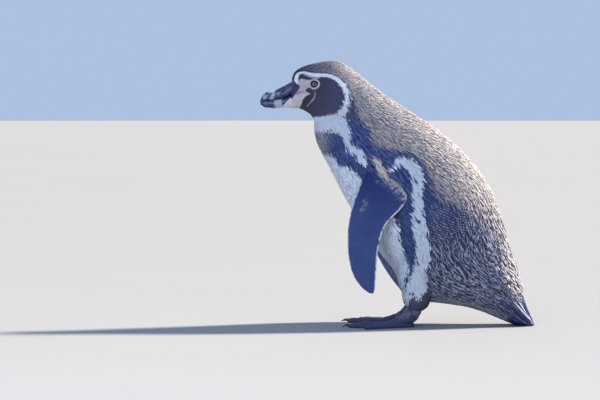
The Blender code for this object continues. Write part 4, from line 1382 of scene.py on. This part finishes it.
# The shares of a feather's length at its sections, and its width there
PLUME = (np.array((0.0, 0.35, 0.68, 0.88)), np.array((0.5, 0.92, 1.0, 0.66)))
TUFT = (np.array((0.0, 0.5, 0.84)), np.array((0.55, 1.0, 0.7)))
SCALE = (np.array((0.0, 0.62)), np.array((0.8, 1.0)))
QUILL = (np.linspace(0, 0.97, 12), np.array((0.5, 0.75, 0.95, 1, 1, 1, 1, 0.98, 0.94, 0.86, 0.7, 0.42)))


def furrows(u, v):
    """Long streaks that run with the feathers, between -1 and 1: waves drawn out along the body."""
    over = vectors(GIRTH * v, 8 * MM * u, 0)
    return np.clip(waves(over, 5.0 * MM, seed=34, count=14), -1, 1)


def ripples(root):
    """Waves across the flanks: their share, strongest behind the stripe, and a sine of the height.

    The waves climb forwards and wander.
    """
    y, z = root[..., 1], root[..., 2]
    flank = smooth(30 * MM, 50 * MM, y) * smooth(170 * MM, 110 * MM, y) * smooth(222 * MM, 200 * MM, z)
    flank = flank * smooth(110 * MM, 140 * MM, z)
    return flank, np.sin(2 * math.pi * (z + 0.30 * y) / (4.3 * MM) + 1.8 * waves(root, 30 * MM, seed=33))


def body_feathers(first, last, shape, seed):
    """Feathers of a stretch of the body: their points, roots u and v, markings and tints.

    Their tips lie a little under the surface, unevenly, and rise on ripples and furrows. Their markings
    are those of where their tips lie. None is kept on the bare face or on the ring round an eye.
    """
    u, v = scatter(body_point, first, last, lambda u: coat_at(u)[3], lambda u: coat_at(u)[4], seed)
    chance = np.random.default_rng(seed + 1)
    count = len(u)
    depth, length, width = coat_at(u)[:3]
    root = body_point(u, v, 0)
    on_head = smooth(STATION["throat"], STATION["nape"] - 2, u)
    flank, ripple = ripples(root)
    furrow = furrows(u, v) * (1 - flank) * (1 - 0.5 * on_head)
    length = length * chance.uniform(0.88, 1.12, count)
    width = width * chance.uniform(0.85, 1.15, count)
    uneven = 0.25 * waves(root, 16 * MM, seed=31)
    lift = (-0.6 + uneven + chance.normal(0, 0.2, count)) * (1 - 0.8 * on_head) * MM
    lift += (0.3 * flank * ripple + (0.5 + 0.5 * smooth(16, 18.5, u)) * furrow * (1 - 0.85 * on_head)) * MM
    stray = chance.normal(0, 1, count) * (5 - 2 * on_head) + 6 * waves(root, 40 * MM, seed=32)
    sweep = np.radians(stray + 22 * flank * np.sign(root[:, 0]))
    points = vanes(body_point, u, v, length, width, depth + 0.2 * MM, lift, sweep, *shape)
    tips = 0.25 * points[:, -4] + 0.75 * points[:, -1]
    edges = chance.normal(0, 1, count) * (1.9 - 1.5 * on_head) * MM
    colours = marks(tips, edges, 0.6 * MM)
    tint = np.clip(0.5 + 0.3 * furrow + chance.normal(0, 0.17, count), 0, 1)
    face = np.maximum.reduce([bare_face(place, 0.6 * MM)[:, :2].max(1) for place in (root, points[:, 4])])
    eye = np.min([np.hypot(*(place[:, 1:] - EYE_CENTRE[1:]).T) for place in (root, points[:, -1])], axis=0)
    keep = ~(((face > 0.5) | (eye < LID_RADIUS + 0.3 * MM)) & (u < STATION["crown"]))
    return points[keep], u[keep], v[keep], colours[keep], tint[keep]


def make_worn_rump(finish):
    """Worn, bleached feathers that stand out over the rump, wide and ragged, in loose rows."""
    u, v = scatter(body_point, *WORN_STATIONS, even(8.5 * MM), even(5.4 * MM), seed=61, loose=0.22)
    root = body_point(u, v, 0)
    chance = np.random.default_rng(62)
    here = depth_in_stripe(RUMP_EDGE, root[:, 1], root[:, 2]) + chance.normal(0, 3 * MM, len(u)) > 0
    u, v = u[here], v[here]
    count = len(u)
    length, width = chance.uniform(12, 17, count) * MM, chance.uniform(4.6, 7.2, count) * MM
    lift = chance.uniform(0.8, 4.2, count) * MM
    sweep = np.radians(chance.normal(0, 13, count))
    points = vanes(body_point, u, v, length, width, np.full(count, 3 * MM), lift, sweep, *PLUME, ridge=0.25)
    tint = chance.uniform(0.35, 1, count)
    colours = np.stack((0.16 * tint, 0.1 + 0 * u, 0.8 + 0.9 * tint), -1)
    add_feathers("feathers_worn_rump", points, PLUME[0], u, v, colours, tint, finish, "back_plumage")


def add_groups(groups, feathers, shape, finish):
    """Pieces of the coat, each of the feathers that it picks: name, which feathers, and slot."""
    points, *values = feathers
    for name, members, slot in groups:
        picked = [value[members] for value in values]
        add_feathers(name, points[members], shape[0], *picked, finish, slot)


def make_body_coat(finish):
    """The coat of head, neck and trunk, in pieces by place and by colour."""
    feathers = body_feathers(FIRST_BODY_FEATHER, STATION["throat"], TUFT, seed=11)
    u = feathers[1]
    groups = (
        ("feathers_face", u < FACE_END, "face_plumage"),
        ("feathers_cheek", (u >= FACE_END) & (u < CHEEK_END), "face_plumage"),
        ("feathers_crown", u >= CHEEK_END, "face_plumage"),
    )
    add_groups(groups, feathers, TUFT, finish)
    feathers = body_feathers(STATION["throat"], LAST_BODY_FEATHER, PLUME, seed=13)
    u, light = feathers[1], feathers[3][:, 0] > 0.5
    groups = (
        ("feathers_breast", light & (u < STATION["breast"]), "belly_plumage"),
        ("feathers_belly", light & (u >= STATION["breast"]), "belly_plumage"),
        ("feathers_mantle", ~light & (u < STATION["shoulder"]), "back_plumage"),
        ("feathers_back", ~light & (u >= STATION["shoulder"]) & (u < STATION["belly"]), "back_plumage"),
        ("feathers_flank", ~light & (u >= STATION["belly"]) & (u < STATION["thigh"]), "back_plumage"),
        ("feathers_rump", ~light & (u >= STATION["thigh"]), "back_plumage"),
    )
    add_groups(groups, feathers, PLUME, finish)


def make_flipper_coat(word, surface, seed, finish):
    """Scale-like feathers all over a flipper, pointing to its tip."""
    u, v = scatter(surface, 0.1, len(FLIPPER) - 1.2, even(1.75 * MM), even(1.1 * MM), seed)
    chance = np.random.default_rng(seed + 1)
    count = len(u)
    length = chance.uniform(2.9, 3.8, count) * MM
    width = chance.uniform(1.35, 1.75, count) * MM
    depth = np.full(count, FLIPPER_COAT + 0.05 * MM)
    lift = chance.normal(-0.12, 0.08, count) * MM
    sweep = np.radians(chance.normal(0, 7, count))
    points = vanes(surface, u, v, length, width, depth, lift, sweep, *SCALE)
    colours = flipper_marks(u, v)
    mottle = waves(points[:, 0], 9 * MM, seed=41) + chance.normal(0, 0.3, count)
    colours[:, 0] = np.clip(colours[:, 0] * (1 + 0.8 * mottle), 0, 1)
    colours[:, 2] = np.clip(colours[:, 2] * (1 + 0.5 * mottle), 0, 1)
    name, tint = "feathers_flipper_" + word, chance.random(count)
    add_feathers(name, points, SCALE[0], u, v, colours, tint, finish, "flipper_plumage")


def leg_marks(points, stray=0.0, soft=3 * MM):
    """A leg's markings: the body's, down to a dark, mottled hem."""
    colours = marks(points, stray, soft)
    y, z = points[..., 1], points[..., 2]
    hem = HEM_HEIGHT - z + 3 * MM * np.sin(y / (3 * MM)) + 0.35 * (y - LEG_CENTRE[1]) + 2.2 * stray
    dark = np.clip(hem / soft + 0.5, 0, 1)
    colours[..., 0] *= 1 - 0.93 * dark
    colours[..., 1] = np.minimum(colours[..., 1], 1 - 0.7 * dark)
    colours[..., 2] = colours[..., 2] * (1 - dark) + 0.04 * dark
    return colours


def make_leg_coat(word, side, seed, finish):
    """Feathers down a leg, shorter towards a ragged hem over the ankle."""
    surface = leg_point(side)

    def gap_along(u):
        return (3.2 - 0.17 * u) * MM

    def gap_across(u):
        return (1.8 - 0.06 * u) * MM

    u, v = scatter(surface, 0.3, len(LEG) - 1.15, gap_along, gap_across, seed)
    chance = np.random.default_rng(seed + 1)
    count = len(u)
    length = (11 - 0.7 * u) * chance.uniform(0.85, 1.15, count) * MM
    width = (3.0 - 0.14 * u) * chance.uniform(0.85, 1.15, count) * MM
    depth, lift = np.full(count, LEG_COAT + 0.1 * MM), chance.normal(-0.4, 0.4, count) * MM
    sweep = np.radians(chance.normal(0, 10, count))
    points = vanes(surface, u, v, length, width, depth, lift, sweep, *TUFT)
    colours = leg_marks(points[:, -4], chance.normal(0, 1.9, count) * MM, 0.6 * MM)
    name, tint = "feathers_leg_" + word, chance.random(count)
    add_feathers(name, points, TUFT[0], u, v, colours, tint, finish, "belly_plumage")


def make_tail():
    """Stiff narrow tail feathers of uneven length in layers, laid along the tail's own surface."""
    parts = []
    for middle, reach, number, long, level in TAIL_LAYERS:
        v = middle + np.linspace(-reach, reach, number)
        parts.append(np.stack(np.broadcast_arrays(v, long, level)))
    v, long, level = np.concatenate(parts, axis=1)
    chance = np.random.default_rng(51)
    count = len(v)
    v = (v + chance.normal(0, 0.004, count)) % 1
    u = np.full(count, FIRST_TAIL_FEATHER)
    start = body_point(u, v, 0)
    rate = np.linalg.norm(body_point(u + 1e-3, v, 0) - start, axis=-1) / 1e-3
    length = TAIL_LENGTH * rate * long * chance.uniform(0.93, 1.03, count)
    width = chance.uniform(4.6, 6.2, count) * MM
    depth = np.full(count, 3.5 * MM)
    lift = (level + chance.normal(0, 0.5, count)) * MM
    sweep = np.radians(chance.normal(0, 1.6, count))
    points = vanes(body_point, u, v, length, width, depth, lift, sweep, *QUILL, ridge=0.4, droop=0.3)
    colours = np.tile((0.0, 1.0, 0.2), (count, 1))
    u = u + 1e-3 * np.arange(count)  # sets their patches of the unwrap apart
    tint = chance.random(count)
    add_feathers("tail_feathers", points, QUILL[0], u, v, colours, tint, tail_finish(), "tail_plumage")


# ---------------------------------------------------------------- bill, eyes and claws


def cut(depth, breadth, away):
    """A rounded groove: its depth by the distance from its middle."""
    return depth * bell(away, breadth)


def make_upper_bill():
    """The bill's upper half: its sections, with a ridge, a long groove, a nostril and the nail's seam."""
    last = len(BILL_UPPER) - 1
    u, v = np.linspace(-0.3, last, 134)[:, None], (np.arange(96) / 96)[None]
    outer = section_point(BILL_UPPER, u, v, 0)
    y, z = outer[..., 1], outer[..., 2]
    grow = 0.25 * MM * bell(np.minimum(v, 1 - v), 0.03)
    grow = grow - cut(0.55 * MM, 0.55 * MM, depth_in_stripe(NOSTRIL_GROOVE, y, z))
    grow = grow - 1.3 * MM * smooth(-0.5 * MM, 0.3 * MM, depth_in_stripe(NOSTRIL, y, z))
    grow = grow - cut(0.45 * MM, 0.5 * MM, depth_in_stripe(NAIL_SEAM, y, z))
    grow = grow + 0.10 * MM * waves(outer * (1, 0.5, 1.5), 5 * MM, seed=61)
    points = section_point(BILL_UPPER, u, v, grow * smooth(last, last - 1.2, u))
    finish = horn_finish("upper horn", UPPER_BAND, spots=WORN_AND_HIGHLIGHT_SPOTS)
    piece = add_shells("bill_upper_horn", [shell(points, (0, 0, 1, 1))], [finish], "horn")
    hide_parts("bill_upper")


def make_lower_bill():
    """The bill's lower half: its sections, with a groove and a seam, swollen on top to close the mouth."""
    last = len(BILL_LOWER) - 1
    u, v = np.linspace(-0.3, last, 114)[:, None], (np.arange(96) / 96)[None]
    outer = section_point(BILL_LOWER, u, v, 0)
    y, z = outer[..., 1], outer[..., 2]
    grow = 0.9 * MM * smooth(0.5, 0.9, np.cos(2 * math.pi * v))
    grow = grow - cut(0.35 * MM, 0.6 * MM, depth_in_stripe(LOWER_GROOVE, y, z))
    grow = grow - cut(0.4 * MM, 0.4 * MM, depth_in_stripe(LOWER_SEAM, y, z))
    grow = grow + 0.10 * MM * waves(outer * (1, 0.5, 1.5), 5 * MM, seed=62)
    points = section_point(BILL_LOWER, u, v, grow * smooth(last, last - 1.0, u))
    finish = horn_finish("lower horn", LOWER_BAND, bare_edge=BARE_EDGE)
    piece = add_shells("bill_lower_horn", [shell(points, (0, 0, 1, 1))], [finish], "horn")
    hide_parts("bill_lower")


def make_eyes():
    """Each eye: a ball turned about its own axis, with the cornea standing out a little in front."""
    finish = eye_finish()
    lean = np.linspace(0.02, math.pi - 0.05, 60)[:, None]
    turn = ring(72)[None]
    radius = EYE_RADIUS * np.sin(lean)
    bulge = 0.55 * MM * bell(radius, 4.0 * MM) * (lean < math.pi / 2)
    for word, side in SIDES:
        x = side * (EYE_CENTRE[0] + EYE_RADIUS * np.cos(lean) + bulge)
        y, z = EYE_CENTRE[1] + radius * np.cos(turn), EYE_CENTRE[2] + radius * np.sin(turn)
        ball = shell(vectors(x, y, z), (0, 0, 1, 1))
        piece = add_shells("eyeball_" + word, [ball], [finish], "eye")
        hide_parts("eye_" + word)


def make_claws():
    """Each claw: a cone bent down, flattened below and keeled above, growing out of its toe."""
    finish = claw_finish()
    share = np.linspace(0, 1, 20)[:, None]
    turn = ring(16)[None]
    for word, side in SIDES:
        for toe, (direction, reach) in TOES.items():
            radius = CLAW_RADIUS * (1 - 0.93 * share**1.4)
            forwards = reach + TOE_WIDTH - CLAW_ROOT + (CLAW_LENGTH + CLAW_ROOT) * share
            wide = 0.85 * radius * np.cos(turn)
            keel = 1 + 0.25 * np.clip(np.sin(turn), 0, 1) ** 4
            z = 3.5 * MM + 0.9 * MM * np.sin(math.pi * share) - 2.2 * MM * share**2.2
            z = z + radius * keel * np.where(np.sin(turn) < 0, 0.7, 1) * np.sin(turn)
            x = math.sin(direction) * forwards + math.cos(direction) * wide
            y = -math.cos(direction) * forwards + math.sin(direction) * wide
            points = vectors(x, y, np.maximum(z, FLOOR_GAP))
            claw = shell(foot_place(points, side), (0, 0, 1, 1))
            name = "claw_" + word + "_" + toe
            piece = add_shells("nail_" + word + "_" + toe, [claw], [finish], "claw")
            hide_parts(name)


# ---------------------------------------------------------------- floor, light and camera


def make_stage():
    """A pale round floor, a warm soft light over the bird's back and a cool soft one on its near side."""
    turn = ring(FLOOR_CORNERS)
    edge = vectors(np.cos(turn), np.sin(turn), 0) * FLOOR_RADIUS
    mesh = bpy.data.meshes.new("floor")
    mesh.from_pydata(edge.tolist(), [], [list(range(FLOOR_CORNERS))])
    finish = Finish("floor")
    tone = finish.noise(finish.place(), 1.5, 3.0)
    mesh.materials.append(finish.surface(finish.mix(FLOOR_DARK, FLOOR_LIGHT, tone), 0.85))
    floor = bpy.data.objects.new("floor", mesh)
    bpy.context.scene.collection.objects.link(floor)

    world = bpy.data.worlds.new("studio")
    world.use_nodes = True
    sky = world.node_tree.nodes["Background"]
    sky.inputs["Color"].default_value = (*SKY, 1)
    sky.inputs["Strength"].default_value = SKY_STRENGTH
    bpy.context.scene.world = world
    sun = bpy.data.lights.new("sun", "SUN")
    sun.energy, sun.angle, sun.color = SUN_STRENGTH, SUN_WIDTH, SUNLIGHT
    fill = bpy.data.lights.new("fill", "AREA")
    fill.energy, fill.size, fill.color = FILL_STRENGTH, FILL_SIZE, SKYLIGHT
    for light, place in ((sun, SUN_PLACE), (fill, FILL_PLACE)):
        lamp = bpy.data.objects.new(light.name, light)
        lamp.location = place
        lamp.rotation_euler = facing(place, LIT_POINT)
        bpy.context.scene.collection.objects.link(lamp)
    bpy.context.scene.view_settings.view_transform = "Standard"


def facing(place, target):
    """The turn that makes a lamp or a camera at a place look at a target."""
    x, y, z = np.array(target) - np.array(place)
    return (math.atan2(math.hypot(x, y), -z), 0, math.atan2(y, x) - math.pi / 2)


def make_camera():
    """A long lens almost level with the bird, looking at its left side."""
    camera = bpy.data.cameras.new("camera")
    camera.lens, camera.sensor_width = LENS, SENSOR
    place = AIM + CAMERA_DISTANCE * np.array((math.cos(CAMERA_RISE), 0, math.sin(CAMERA_RISE)))
    seen = bpy.data.objects.new("camera", camera)
    seen.location = place
    seen.rotation_euler = facing(place, AIM)
    bpy.context.scene.collection.objects.link(seen)
    bpy.context.scene.camera = seen


make_stage()
make_camera()
make_skin()
make_upper_bill()
make_lower_bill()
make_eyes()
make_claws()
coat_finish, flipper_coat_finish = plumage_finish(), flipper_finish()
make_body_coat(coat_finish)
make_worn_rump(coat_finish)
for word, side, flipper in (("left", 1, left_flipper), ("right", -1, right_flipper)):
    make_flipper_coat(word, flipper, 70 + side, flipper_coat_finish)
    make_leg_coat(word, side, 80 + side, coat_finish)
make_tail()
